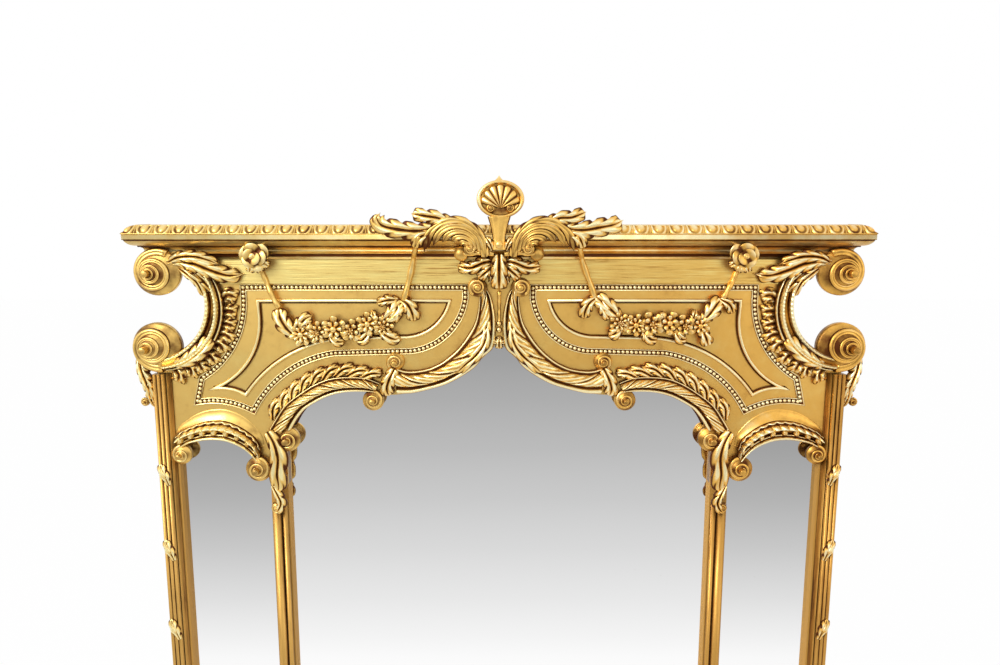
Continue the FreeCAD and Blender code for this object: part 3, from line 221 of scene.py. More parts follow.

# ------------------------------------------------------------------ spandrel board and frieze
# The flat grounds are gilded over gesso and red bole, then rubbed: warm gold, paler where the leaf
# is whole, browner where the bole shows. On top of that is painted light: paler yellow gold toward
# the left, as if lit from there, and on the carvings painted shade in the cuts and painted highlights
# on the proud edges. The frieze keeps the long streaks of the gesso brush.


def gilding(name, light, middle, deep, metal=0.9, rough=0.34, streaks=None, painted_left_light=0.3, bare_from=9.0):
    """Rubbed gilding with painted light from the left: pale yellow gold on the left and redder on the right.

    The attribute read here is -1 on the proudest edges, a painted highlight, and 1 in the deepest cuts,
    painted shade.
    The leaf stops at bare_from, a depth in metres, and the wood behind it is left plain.
    """
    finish = Finish(name, Coat_Weight=0.06)
    painted_shade = finish.node("ShaderNodeAttribute", {"attribute_name": "painted_shade"}, out=2)
    cloud = finish.noise(7.0, 5.0) - 0.5
    grain = finish.noise(38.0, 5.0, streaks or (1, 1, 1)) - 0.5
    # painted shade in the cuts and painted highlight on proud edges, from the attribute, plus random rubbing
    # from cloud and grain
    shade_and_rubbing = painted_shade + cloud * 1.5 + grain * (2.4 if streaks else 0.9)
    tone = finish.mix(shade_and_rubbing.step(-0.8, 0.1), light, middle)
    # painted light: paler yellow gold toward the left, as if the key lamp lit it from there
    painted_light_from_left = finish.along(0).step(0.75, -0.75)
    tone = finish.mix(painted_light_from_left * painted_left_light, tone, colour(255, 240, 156))
    tone = finish.mix(shade_and_rubbing.step(0.05, 0.8), tone, deep)
    speck = finish.noise(420.0, 2.0)
    bare = finish.along(1).step(bare_from, bare_from + 0.001)
    tone = finish.mix(bare, tone, finish.mix(grain + 0.5, colour(176, 138, 92), colour(120, 86, 52)))
    return finish.use(
        Base_Color=tone,
        Metallic=bare * -metal + metal,
        Roughness=(cloud * 0.2 + speck * 0.16 + painted_shade.step(0.1, 1.0) * 0.25 + (rough - 0.08)).clip(),
        Normal=finish.bump(grain * 1.4 + speck * 0.35, 0.5, 0.0005),
    )


# each gold: the colour of painted highlights, the middle gold, and the bole brown of painted shade and rubbing
gold = colour(255, 240, 188), colour(240, 184, 86), colour(92, 46, 12)
ground_gold = colour(252, 218, 130), colour(238, 184, 90), colour(158, 98, 36)
frieze_gold = colour(250, 226, 140), colour(234, 188, 96), colour(176, 122, 52)
# the boards' edges are gilded only as deep as the brush reached
leaf_end = 0.006
ground_gilding = gilding("ground_gilding", *ground_gold, bare_from=leaf_end)
frieze_gilding = gilding("frieze_gilding", *frieze_gold, streaks=(0.35, 3, 9), painted_left_light=0.6, bare_from=leaf_end)
carved_gilding = gilding("carved_gilding", *gold)
dress(ground_gilding, "gilding", "spandrel_board")
dress(frieze_gilding, "frieze_gilding", "frieze_board", "frieze_returns")

MM = 0.001


def reach(name):
    """Lowest and highest corner of a CAD node in millimetres."""
    low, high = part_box(name)
    return np.array(low) / MM, np.array(high) / MM


board_low, board_high = reach("spandrel_board")
stile_edge = board_high[0]
shoulder = reach("left_stile")[1][2] - 225
frieze_low = reach("frieze_board")[0][2]
frieze_face = -reach("frieze_board")[0][1]
frieze_top = reach("bed_moulding")[0][2]
bed_top = reach("cornice_crown")[0][2]
crown_top = reach("egg_and_dart")[0][2]
cornice_top = reach("egg_and_dart")[1][2]
core = stile_edge - 22

# ------------------------------------------------------------------ straight face mouldings
# Three reeds, a quirk and a sight bevel run up each stile and along the foot, mitred at the corners.
# The mullions carry a narrower pair of lobes. They are run in lengths and gilded more thinly.


def spline(points, count):
    """Smooth curve through a few points, evenly spaced: Catmull-Rom cubics, then respaced by length."""
    p = np.asarray(points, float)
    p = np.vstack([2 * p[0] - p[1], p, 2 * p[-1] - p[-2]])
    t = np.linspace(0, 1, 24, endpoint=False)[:, None]
    a, b, c, d = p[:-3, None], p[1:-2, None], p[2:-1, None], p[3:, None]
    curve = 0.5 * (2 * b + (c - a) * t + (2 * a - 5 * b + 4 * c - d) * t**2 + (3 * b - a - 3 * c + d) * t**3)
    return respaced(np.vstack([curve.reshape(-1, p.shape[1]), p[-2]]), count)


def respaced(line, count):
    """The same line with count points at equal steps of its length."""
    steps = np.r_[0, np.cumsum(np.linalg.norm(np.diff(line, axis=0), axis=1))]
    at = np.linspace(0, steps[-1], count)
    return np.stack([np.interp(at, steps, line[:, axis]) for axis in range(line.shape[1])], 1)


def arc(here, there, bow, count=24):
    """Arc between two points that swells by bow to the right of the way: chord plus a circle's rise."""
    here, there = np.asarray(here, float), np.asarray(there, float)
    if not bow:
        return np.linspace(here, there, 2)
    half = np.linalg.norm(there - here) / 2
    radius = (half**2 + bow**2) / (2 * bow)
    along = (there - here) / (2 * half)
    aside = np.array([along[1], -along[0]])
    turn = np.linspace(-1, 1, count) * 2 * math.atan2(bow, half)
    centre = (here + there) / 2 + aside * (bow - radius)
    return centre + along * radius * np.sin(turn)[:, None] + aside * radius * np.cos(turn)[:, None]


def path(points, bows):
    """Closed outline from corners and the bows of some of its sides."""
    sides = [arc(here, points[(i + 1) % len(points)], bows.get(i, 0)) for i, here in enumerate(points)]
    return np.vstack([side[:-1] for side in sides])


def grid(points, painted_shade=0.0, ring=False, loop=False):
    """Quads over an array of points (rows, columns, 3); ring joins the columns, loop the rows."""
    rows, columns = points.shape[:2]
    number = np.arange(rows * columns).reshape(rows, columns)
    if ring:
        number = np.hstack([number, number[:, :1]])
    if loop:
        number = np.vstack([number, number[:1]])
    a, b, c, d = number[:-1, :-1], number[:-1, 1:], number[1:, 1:], number[1:, :-1]
    quads = np.stack([a, b, c, d], -1).reshape(-1, 4)
    shade = np.broadcast_to(np.asarray(painted_shade, float), (rows, columns)).reshape(-1)
    return points.reshape(-1, 3), quads, shade


def tube(points, painted_shade=0.0):
    """Closed body from rings of points: columns joined, each end drawn in to its own centre."""
    ends = [np.repeat(points[end].mean(0)[None, None], points.shape[1], 1) for end in (0, -1)]
    painted_shade = np.broadcast_to(np.asarray(painted_shade, float), points.shape[:2])
    painted_shade = np.vstack([painted_shade[:1], painted_shade, painted_shade[-1:]])
    return grid(np.vstack([ends[0], points, ends[1]]), painted_shade, ring=True)


def flipped(part):
    """The mirror image of a part across the middle of the frame."""
    points, quads, shade = part
    return points * [-1, 1, 1], quads[:, ::-1], shade


def outward(part):
    """The part with its faces turned outward: the volume that its faces enclose comes out positive."""
    points, quads, shade = part
    a, b, c, d = (points[quads[:, k]] for k in range(4))
    volume = np.einsum("ij,ij->", a, np.cross(b, c)) + np.einsum("ij,ij->", a, np.cross(c, d))
    return (points, quads if volume > 0 else quads[:, ::-1], shade)


def piece(name, parts, material, stands_for, smooth=True):
    """One mesh from several closed parts in millimetres, with the attribute of painted shade and highlight
    that the gilding reads.
    """
    parts = [outward(part) for part in parts]
    sizes = np.cumsum([0] + [len(part[0]) for part in parts])
    points = np.vstack([part[0] for part in parts]) * MM
    quads = np.vstack([part[1] + start for part, start in zip(parts, sizes)])
    shade = np.concatenate([part[2] for part in parts])
    mesh = bpy.data.meshes.new(name)
    mesh.vertices.add(len(points))
    mesh.vertices.foreach_set("co", points.ravel())
    mesh.loops.add(quads.size)
    mesh.loops.foreach_set("vertex_index", quads.ravel())
    mesh.polygons.add(len(quads))
    mesh.polygons.foreach_set("loop_start", np.arange(0, quads.size, 4))
    mesh.update(calc_edges=True)
    mesh.attributes.new("painted_shade", "FLOAT", "POINT").data.foreach_set("value", shade)
    mesh.validate()
    if smooth:
        mesh.polygons.foreach_set("use_smooth", np.ones(len(mesh.polygons), bool))
    mesh.materials.append(material)
    made = bpy.data.objects.new(name, mesh)
    bpy.context.scene.collection.objects.link(made)
    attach(made, "root")
    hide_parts(stands_for)


def section(points, bows, step=1.2):
    """Moulding section as a closed line: arcs where given, its corners doubled so that they stay crisp."""
    nip = 0.12
    lines = []
    for i, here in enumerate(points):
        there = points[(i + 1) % len(points)]
        if i in bows:
            line = arc(here, there, bows[i], 14)
        else:
            line = respaced(np.array([here, there], float), 2 + int(math.dist(here, there) / step))
        way = (line[-1] - line[0]) / max(np.linalg.norm(line[-1] - line[0]), 1e-6)
        lines.append(np.vstack([line[:1] + way * nip, line[1:-1], line[-1:] - way * nip]))
    return np.vstack(lines)


def upright(line, outer, foot, top, side, mitre):
    """Moulding along an upright: its section at the foot, mitred at 45 degrees if wanted, and at the top."""
    inward, height = line.T
    rows = [np.stack([outer - inward, -height, z + 0 * inward], 1) for z in (foot, top)]
    if mitre:
        rows[0][:, 2] = foot + inward
    points = np.array(rows) * [side, 1, 1]
    return tube(points, painted_shade=shade_of(line))


def shade_of(line):
    """Painted shade of each point of a section: how deep it lies under the mean of its neighbours, from -1, a
    painted highlight, to 1; points near its foot get more.
    """
    height = line[:, 1]
    around = sum(np.roll(height, k) for k in range(-7, 8)) / 15
    return np.clip((around - height) / 1.6, -0.7, 1) + np.where(height < 1, 0.5, 0)


reeds = [(0, 0), (0, 18), (9.5, 18), (19, 18), (28.5, 17), (28.5, 8), (30.5, 8), (30.5, 14), (38, 4), (38, 0)]
reeds = section(reeds, {1: -4, 2: -4, 3: -3.5})
lobes = [(0, 0), (0, 11), (21.6, 9), (21.6, 4), (24.5, 4), (24.5, 9), (36, 8), (36, 0)]
lobes = section(lobes, {1: -7, 5: -4})
thin_gold = colour(206, 154, 72), colour(160, 108, 40), colour(72, 40, 14)
dull_gilding = gilding("thin_gilding", *thin_gold, 0.75, 0.4, (9, 9, 0.35), painted_left_light=0.1)


def run_moulding(name, part, node):
    """A length of moulding that keeps its crisp arrises."""
    piece(name, [part], dull_gilding, node, smooth=False)


moulding_out = reach("right_stile_moulding")[1][0]
stile_top = reach("right_stile_moulding")[1][2]
(_, _, small_foot), (small_out, _, small_top) = reach("right_mullion_moulding")
for side, word in ((-1, "left"), (1, "right")):
    stile = upright(reeds, moulding_out, 0, stile_top, side, True)
    run_moulding(word + "_stile_reeds", stile, word + "_stile_moulding")
    mullion = upright(lobes, small_out, small_foot, small_top, side, False)
    run_moulding(word + "_mullion_lobes", mullion, word + "_mullion_moulding")
inward, height = reeds.T
ends = [np.stack([side * (moulding_out - inward), -height, inward], 1) for side in (-1, 1)]
run_moulding("bottom_reeds", tube(np.array(ends), shade_of(reeds)), "bottom_rail_moulding")

# ------------------------------------------------------------------ cornice
# The bed moulding, crown and egg-and-dart ovolo are run in lengths, the eggs carved after, and mitred
# at the two front corners, from which they return to the wall.


return_end = 38.0


def around(line):
    """A section (out, z) carried along the left return, the front and the right return, with true mitres."""
    out, z = line.T
    wall = return_end + 0 * out
    rows = [(-core - out, wall), (-core - out, -out), (core + out, -out), (core + out, wall)]
    return np.array([np.stack([x, y, z], 1) for x, y in rows])


tip = reach("egg_and_dart")[1][0] - core
bed = [(0, 0), (16, 0), (16, 6), (19, 6), (19, 13), (26, 14), (26, 28), (26, 29), (0, 29)]
bed = section(bed, {5: -5}) + [0, frieze_top]
crown = [(0, 0), (tip - 26, 0), (tip - 25, 3), (tip - 4, 17), (tip - 2, 17), (tip - 2, 29), (0, 29)]
crown = section(crown, {2: 4}) + [0, bed_top]
# painted light by height above each moulding's foot: painted highlights on the fillets, painted shade in the
# coves and the quirks
bed_shade = [(0, 1.0), (1, 0.0), (5, -0.3), (7, 0.9), (12, 1.0), (14, 0.0), (21, -0.5), (27, 0.1), (29, 0.9)]
crown_shade = [(0, 1.0), (1.5, 0.9), (4, -0.3), (13, -0.35), (15.5, 0.9), (17.5, 0.9), (19, -0.5), (28, -0.4)]
crown_shade += [(29, 0.5)]
runs = (("bed_run", bed, "bed_moulding", bed_shade), ("crown_run", crown, "cornice_crown", crown_shade))
for name, line, node, tones in runs:
    shade = np.interp(line[:, 1] - line[:, 1].min(), *np.array(tones).T)
    piece(name, [tube(around(line), shade)], carved_gilding, node, smooth=False)


def egg_height(along, up, pitch=40.0):
    """Relief of egg-and-dart over the plain ovolo: each egg an upright half oval in a raised husk.

    up runs from 0 at the foot to 1 at the head. A sunk ring parts egg from husk, a dart stands between husks.
    """
    place = np.abs((along / pitch) % 1 - 0.5)
    away = np.hypot(place / 0.27, np.clip(0.62 - up, 0, 1) / 0.5)
    egg = 3.0 * np.sqrt(np.clip(1 - (away / 0.8) ** 2, 0, 1)) * (up < 0.93)
    husk = 3.0 * np.exp(-(((away - 1.42) / 0.2) ** 4)) * (up < 0.93)
    dart = 2.6 * np.clip(1 - (0.5 - place) / (0.012 + 0.06 * up), 0, 1)
    fillet = 3.2 * (up > 0.93) + 2.0 * (up < 0.06)
    return np.maximum(np.maximum(egg, husk), np.maximum(dart, fillet))


def ovolo():
    """The ovolo's strip: rows along each run, columns up its face, pushed out square to the face."""
    foot, head = np.array([tip, 3.0]), np.array([tip - 23, 22.0])
    face = arc(foot, head, 4.0, 30)[1:-1]
    normal = np.array([19.0, 23.0]) / np.hypot(19, 23)
    up = np.linspace(0, 1, len(face))
    step, deepest, mitre_fade = 1.25, 4.6, 12
    parts = []
    for run in ("left", "front", "right"):
        long = 2 * core + 2 * tip if run == "front" else return_end + tip
        along = np.linspace(0, long, int(long / step))
        rise = egg_height((along - long / 2)[:, None] + 20, up[None, :])
        fade = np.clip(np.minimum(along, long - along)[:, None] / mitre_fade, 0, 1) if run == "front" else 1
        line = face[None] + normal * (rise * fade - deepest)[..., None]
        back = [(tip - 27, 22), (tip - 27, 0), (tip - 2, 0), (tip, 2)]
        back = np.broadcast_to(np.array(back), (len(along), 4, 2))
        line = np.concatenate([back[:, 2:], line, back[:, :2]], 1)
        out, z = line[..., 0], line[..., 1] + crown_top
        if run == "front":
            across = np.clip((along - long / 2)[:, None], -core - out, core + out)
            points = np.stack([across, -out, z], -1)
        else:
            y = np.maximum(return_end - along[:, None], -out)
            side = -1 if run == "left" else 1
            points = np.stack([side * (core + out), y, z], -1)
        # painted shade low in the carved relief, painted highlight on the eggs, husks and darts
        painted_shade = np.full(points.shape[:2], 0.1)
        painted_shade[:, 2:-2] = np.clip(0.5 - rise / 3.4, -0.5, 0.6)
        parts.append(tube(points, painted_shade))
    return parts


piece("egg_and_dart_run", ovolo(), carved_gilding, "egg_and_dart")

# ------------------------------------------------------------------ scrolled ears
# Each ear is a bold C scroll, carved from a separate block and glued to the board: a moulded band
# between two conical rolls, with shellwork outside it. The rolls' eyes stand well forward.


def smooth(edge_low, edge_high, x):
    """Smooth ramp: 0 below the low edge, 1 above the high one, a cubic between."""
    t = np.clip((x - edge_low) / (edge_high - edge_low), 0, 1)
    return t * t * (3 - 2 * t)


def circle(x, z, radius, start, end, count):
    """Points of a circular arc in front view between two angles in degrees."""
    turn = np.radians(np.linspace(start, end, count))
    return np.stack([x + radius * np.cos(turn), z + radius * np.sin(turn)], 1)


def band(near, far, profile, seat=0.0, carve=None):
    """Moulded band between two rails: a share of the way across gives a smooth section height.

    The profile is points (share, height); carve(u, share) adds relief by the share u of the way along.
    """
    count = len(near)
    share = np.linspace(0, 1, 49)
    place, level = np.asarray(profile, float).T
    fine = np.interp(share, place, level)
    for _ in range(2):
        fine[1:-1] = (fine[:-2] + fine[1:-1] * 2 + fine[2:]) / 4
    height = np.tile(fine, (count, 1))
    if carve is not None:
        height = height + carve(np.linspace(0, 1, count)[:, None], share[None])
    flat = near[:, None] + (far - near)[:, None] * share[None, :, None]
    top = np.stack([flat[..., 0], seat - height, flat[..., 1]], -1)
    under = np.stack([flat[:, ::-6, 0], np.full((count, 9), seat + 0.0), flat[:, ::-6, 1]], -1)
    around_height = sum(np.roll(height, k, 1) for k in range(-4, 5)) / 9
    # painted shade where the band lies below its neighbours and near the board, painted highlight on its
    # crests, painted dark underside
    painted_shade = np.clip((around_height - height) / 2.2, -0.9, 1) + smooth(14, 4, height) * 0.7
    return tube(np.concatenate([top, under], 1), np.concatenate([painted_shade, np.full((count, 9), 0.9)], 1))


def roll(x, z, radius, hand, start, seat, front, turns=1.9, lean=(0, 0), shrink=0.52, gap=0.2, rib=0.0):
    """Conical volute: a round band coiled on a cone whose top moves aside by lean, with an eye in the middle.

    Radius of the band's outer edge = radius * shrink ** turns made; each turn leaves a gap to the next.
    """
    share = np.array([0.94, 0.94, 0.88, 0.7, 0.45, 0.2])[:, None]
    rise = np.array([0, 0.22, 0.27, 0.36, 0.5, 0.62])[:, None]
    turn = np.linspace(0, 2 * np.pi, 48, endpoint=False)[None]
    cone_x = x + lean[0] * (1 - share) + radius * share * np.cos(turn)
    cone_z = z + lean[1] * (1 - share) + radius * share * np.sin(turn)
    cone_y = seat - (seat - front) * rise + 0 * turn
    # painted shade on the cone under the coil, darker toward its middle
    shade = np.array([0.4, 0.2, 0.25, 0.4, 0.5, 0.5])[:, None] + 0.2 * np.sin(turn * 1.5) ** 2
    cone = tube(np.stack([cone_x, cone_y, cone_z], -1), shade)
    t = np.linspace(0, 1, int(44 * turns))[:, None]
    angle = np.radians(start) + hand * 2 * np.pi * turns * t
    outer = radius * shrink ** (turns * t)
    half = outer * (1 - shrink) * (1 - gap) / 2
    q = np.linspace(-1, 1, 15)[None]
    at = outer - half + half * q
    crown = np.sqrt(np.clip(1 - q**2 * 0.97, 0, 1)) - rib * np.exp(-((q / 0.28) ** 2))
    base = 0.24 + 0.5 * (1 - outer / radius)
    level = seat - (seat - front) * base - crown * np.minimum(half, 11) * 0.95
    moved = 1 - outer / radius
    coil_x = x + lean[0] * moved + at * np.cos(angle)
    coil_z = z + lean[1] * moved + at * np.sin(angle)
    points = np.stack([coil_x, level, coil_z], -1)
    wall = points[:, [-1, 0]] + 0
    wall[..., 1] = np.minimum(seat - 2, seat - (seat - front) * (base - 0.2))
    # painted shade in the grooves at the coil's edges, along its rib and on its wall; the eye gets painted
    # shade too
    groove = np.abs(q) ** 7 * 1.1 - 0.05 + 2.2 * rib * np.exp(-((q / 0.3) ** 2))
    painted_shade = np.concatenate([np.clip(groove, -0.9, 1) + 0 * t, np.full((len(t), 2), 0.6)], 1)
    coil = tube(np.concatenate([points, wall], 1), painted_shade)
    last = radius * shrink**turns
    moved = 1 - last / radius
    eye = button(x + lean[0] * moved, z + lean[1] * moved, last * 0.8, seat - 4, front, 0.35, 0.35)
    return [cone, coil, eye]


def button(x, z, radius, seat, front, dome=0.8, tone=-0.2):
    """Turned boss: rings from the seat up its wall and over a rounded crown, as a half ellipse."""
    up = np.radians(np.linspace(0, 88, 10))
    rings = [(radius, seat)] + [(radius * math.cos(a), front + radius * dome * (1 - math.sin(a))) for a in up]
    turn = np.linspace(0, 2 * np.pi, 28, endpoint=False)
    size, level = np.array(rings).T[:, :, None]
    # tone is the boss's painted light: below zero a painted highlight, above it painted shade
    return tube(np.stack([x + size * np.cos(turn), level + 0 * turn, z + size * np.sin(turn)], -1), tone)


def acanthus(rib, width, rise, lobes=4, seat=0.0, sharp=0.55, body=0.3, pipes=1.0, midrib=0.3, tone=-0.2):
    """Carved leaf along a rib of points (x, z, lift): lobed outline, sunk midrib, flutes out to the lobes.

    Half width = width/2 * body-and-point envelope * (1 - sharp * gap between lobes). Height = rise * rounded
    section * flutes, pipes of them along each half; the edges turn down. lift raises the rib off the seat.
    """
    edge = 3.0
    count = 12 * lobes + 10
    spine = spline(rib, count)
    way = np.gradient(spine[:, :2], axis=0)
    way /= np.linalg.norm(way, axis=1)[:, None]
    aside = np.stack([way[:, 1], -way[:, 0]], 1)
    u = np.linspace(0, 1, count)[:, None]
    q = np.linspace(-1, 1, 33)[None]
    spread = (body + (1 - body) * np.sin(np.pi * np.clip(u * 0.9 + 0.06, 0, 1)) ** 0.7) * smooth(1.0, 0.86, u)
    spread = np.maximum(spread, 0.02)
    beat = u * lobes - np.abs(q) * 0.8
    gap = np.abs(np.cos(np.pi * beat)) ** 7
    reach_out = 1 - sharp * gap * smooth(0.25, 1.0, np.abs(q))
    half = width / 2 * spread * reach_out
    lean = np.abs(q) ** 1.5 * width * 0.16 * spread
    across = half * q
    x = spine[:, :1] + aside[:, :1] * across + way[:, :1] * lean
    z = spine[:, 1:2] + aside[:, 1:] * across + way[:, 1:] * lean
    crown = np.sqrt(np.clip(1 - np.abs(q) ** 3 * 0.96, 0, 1))
    flute = 0.2 * np.cos(2 * np.pi * pipes * (np.abs(q) - 0.45)) * smooth(1.0, 0.6, u)
    flute = flute - midrib * np.exp(-((q / 0.09) ** 2)) - 0.24 * gap * smooth(0.2, 0.7, np.abs(q))
    full = (0.55 + 0.45 * np.sin(np.pi * u) ** 0.8) * smooth(1.02, 0.9, u)
    height = rise * full * crown * (0.86 + flute)
    lift = spine[:, 2:3]
    top = np.stack([x, seat - lift - height - edge * 0.3, z], -1)
    under = np.stack([x, seat - np.maximum(lift - edge, 0) + 0 * q, z], -1)[:, ::-4]
    # painted shade at the leaf's edges, between lobes and in the midrib, painted highlight on the flutes; tone
    # shifts the whole leaf, the underside is painted dark
    painted_shade = np.clip(-flute * 3.2 + tone + smooth(0.85, 1.0, np.abs(q)) * 1.0 + gap * 0.3, -0.95, 1)
    painted_shade = np.concatenate([painted_shade, np.full((count, under.shape[1]), 0.4)], 1)
    return tube(np.concatenate([top, under], 1), painted_shade)


def carved(name, parts, node):
    """A gilded carving that stands for one CAD node."""
    piece(name, parts, carved_gilding, node)


def both_sides(name, parts, node):
    """The same carving right and, mirrored, left, as a piece each."""
    carved("right_" + name, parts, "right_" + node)
    carved("left_" + name, [flipped(part) for part in parts], "left_" + node)


def pair(name, parts, node):
    """A matched pair of small carvings, right and left, in one piece."""
    carved(name, parts + [flipped(part) for part in parts], node)


def circle_through(a, b, c):
    """Centre and radius of the circle through three points: where the middle squares of two chords meet."""
    mid_one, mid_two = (a + b) / 2, (b + c) / 2
    turn_one, turn_two = np.array([a[1] - b[1], b[0] - a[0]]), np.array([b[1] - c[1], c[0] - b[0]])
    shares = np.linalg.solve(np.stack([turn_one, -turn_two], 1), mid_two - mid_one)
    centre = mid_one + turn_one * shares[0]
    return centre, np.linalg.norm(a - centre)


ear = np.array([core, shoulder + 380])
bite = arc((stile_edge - 109, frieze_low + 39), (stile_edge, shoulder + 253), 77, 3)
bite_middle, bite_radius = circle_through(*bite)
lap, ear_radius, from_turn, to_turn = 8, 150, 146, 266
c_section = [(0, 13), (0.06, 24), (0.14, 29), (0.24, 26), (0.28, 15), (0.42, 11), (0.54, 14), (0.57, 27)]
c_section += [(0.68, 34), (0.80, 28), (0.83, 16), (0.87, 15), (0.90, 22), (1.0, 19), (1.0, 13)]
inner_rim = circle(*bite_middle, bite_radius - lap, from_turn, to_turn, 110)
outer_rim = circle(*ear, ear_radius, from_turn, to_turn, 110)


def beaded(u, share):
    """Rounded beads along the bold middle member and small nicks along the inner one."""
    bold = smooth(0.57, 0.62, share) * smooth(0.80, 0.76, share) * np.abs(np.sin(np.pi * u * 34)) * 3.2
    return bold - smooth(0.05, 0.1, share) * smooth(0.24, 0.2, share) * np.abs(np.cos(np.pi * u * 26)) * 2.4


wrap = circle(*ear, ear_radius - 12, 258, 208, 6)
wrap_leaf = [(x, z, lift) for (x, z), lift in zip(wrap, (12, 20, 24, 24, 22, 16))]
ear_parts = [band(inner_rim, outer_rim, c_section, carve=beaded)]
ear_parts.append(acanthus(wrap_leaf, 40, 11, 4, 0, 0.35, body=0.5))
both_sides("ear_scroll", ear_parts, "c_scroll")
coil = {"front": -62, "turns": 3.4, "shrink": 0.6, "gap": 0.08, "rib": 0.2}
upper_roll = roll(core - 7, bed_top - 57, 58, -1, 120, -frieze_face, lean=(20, -3), **coil)
lower_roll = roll(core + 9, shoulder + 287, 61, 1, -100, 0, lean=(22, -3), **coil)
pair("upper_rolls", upper_roll, "upper_volutes")
pair("lower_rolls", lower_roll, "lower_volutes")

shells = []
dice = np.random.default_rng(5)
for turn in np.linspace(173, 261, 9):
    toward = np.array([math.cos(math.radians(turn)), math.sin(math.radians(turn))])
    foot, head = ear + toward * (ear_radius - 4), ear + toward * dice.uniform(176, 184)
    bend = (foot + head) / 2 + np.array([toward[1], -toward[0]]) * dice.uniform(2, 10)
    wide = dice.uniform(34, 42)
    shells.append(acanthus([(*foot, 0), (*bend, 4), (*head, 1)], wide, 12, 3, 0, 0.4, body=0.8, pipes=1.5))
pair("ear_shells", shells, "ear_shellwork")

# ------------------------------------------------------------------ scrolls round the arches
# Two long scrolls meet on each cusp of the centre arch and a third crosses each side arch. Their bands
# are reeded and wrapped with leaves, their ends roll up, and pierced leafage edges them.

# across the front from the middle: the cusp of the centre arch, its springing, and the side arch's outer end
cusp, spring, side_in = 262.0, 514.0, 775.0
crown_section = [(0, 10), (0.04, 15), (0.12, 18), (0.18, 14), (0.21, 8), (0.26, 12), (0.36, 23), (0.5, 27)]
crown_section += [(0.64, 26), (0.76, 20), (0.83, 10), (0.87, 9), (0.91, 14), (0.97, 13), (1.0, 8)]


def above(points, start=0.0, way=1):
    """Front-view points from a distance along from a start and a height above the stiles' shoulder."""
    return [(start + way * x, shoulder + z) for x, z in points]


def wrapped(count, lean=1.6, depth=3.0):
    """Leaves wrapping the band's swell: long slanted flutes, each with a sunk edge, and two fine reeds."""
    def carve(u, share):
        wave = (u * count - share * lean) % 1
        flute = 0.45 * np.cos(6 * np.pi * wave) - 1.6 * np.exp(-(((wave - 0.5) / 0.07) ** 2))
        return depth * flute * smooth(0.27, 0.36, share) * smooth(0.84, 0.74, share)
    return carve


def pierced(count):
    """A ribbon sunk with a row of pits, and slanted leaf lobes over them."""
    def carve(u, share):
        wave = (u * count - share * 0.6) % 1
        pit_row = smooth(0.28, 0.34, share) * smooth(0.6, 0.54, share)
        lobe_row = smooth(0.58, 0.66, share) * smooth(0.97, 0.88, share)
        pit = smooth(0.14, 0.26, wave) * smooth(0.9, 0.78, wave) * pit_row
        lobe = np.abs(np.sin(np.pi * (u * count * 1.5 - share * 2.4))) * lobe_row
        return 7 * lobe - 17 * pit
    return carve


upper_near = above([
    (28, 424), (17, 400), (8, 348), (13, 288), (38, 262), (55, 240), (83, 219), (119, 199), (154, 187),
    (204, 175), (242, 173)])
upper_far = above([
    (48, 420), (47, 395), (56, 347), (76, 311), (95, 285), (118, 263), (142, 246), (170, 234), (201, 229),
    (224, 230), (250, 238)])
upper_parts = [band(spline(upper_near, 120), spline(upper_far, 120), crown_section, carve=wrapped(5))]
upper_parts += roll(cusp - 16, shoulder + 250, 23, 1, -90, 0, -34)
upper_parts += roll(50, shoulder + 428, 24, 1, -60, -frieze_face, -42)
cusp_leaf = zip(above([(246, 236), (258, 212), (266, 186), (262, 166)]), (16, 18, 10, 2))
upper_parts.append(acanthus([(*point, lift) for point, lift in cusp_leaf], 36, 12, 3, 0, 0.3, body=0.6))
neck_leaf = zip(above([(30, 350), (33, 304), (52, 272), (80, 246), (104, 222)]), (14, 20, 22, 20, 12))
upper_parts.append(acanthus([(*point, lift) for point, lift in neck_leaf], 30, 9, 4, 0, 0.3, body=0.6))
both_sides("upper_scroll", upper_parts, "upper_arch_scroll")

lower_near = above([
    (34, 176), (60, 178), (94, 177.5), (124, 173), (154, 163), (186, 146), (203, 133.5), (222, 109),
    (236, 84)], cusp)
lower_far = above([
    (22, 200), (57, 213), (104, 215), (140, 211), (168, 201), (200, 183), (248, 147), (276, 108),
    (290, 85)], cusp)
lower_parts = [band(spline(lower_near, 120), spline(lower_far, 120), crown_section, carve=wrapped(6))]
lower_parts += roll(cusp + 38, shoulder + 157, 27, 1, 90, 0, -34)
lower_parts += roll(spring - 6, shoulder + 61, 32, -1, 60, 0, -40)
both_sides("lower_scroll", lower_parts, "lower_arch_scroll")

leafage = []
edge = spline(above([(30, 216), (104, 228), (164, 216), (212, 190), (268, 140), (304, 104)], cusp), 40)
for at in range(2, 36, 4):
    way = (edge[at + 1] - edge[at - 1]) / np.linalg.norm(edge[at + 1] - edge[at - 1])
    out = np.array([-way[1], way[0]])
    foot, head = edge[at] - out * 16 + way * 22, edge[at] + out * 8 - way * 32
    swell = foot * 0.5 + head * 0.5 + out * 9
    leafage.append(acanthus([(*foot, 0), (*swell, 6), (*head, 3)], 28, 12, 3, 0, 0.4, body=0.5))
pair("arch_leaves", leafage, "arch_leafage")


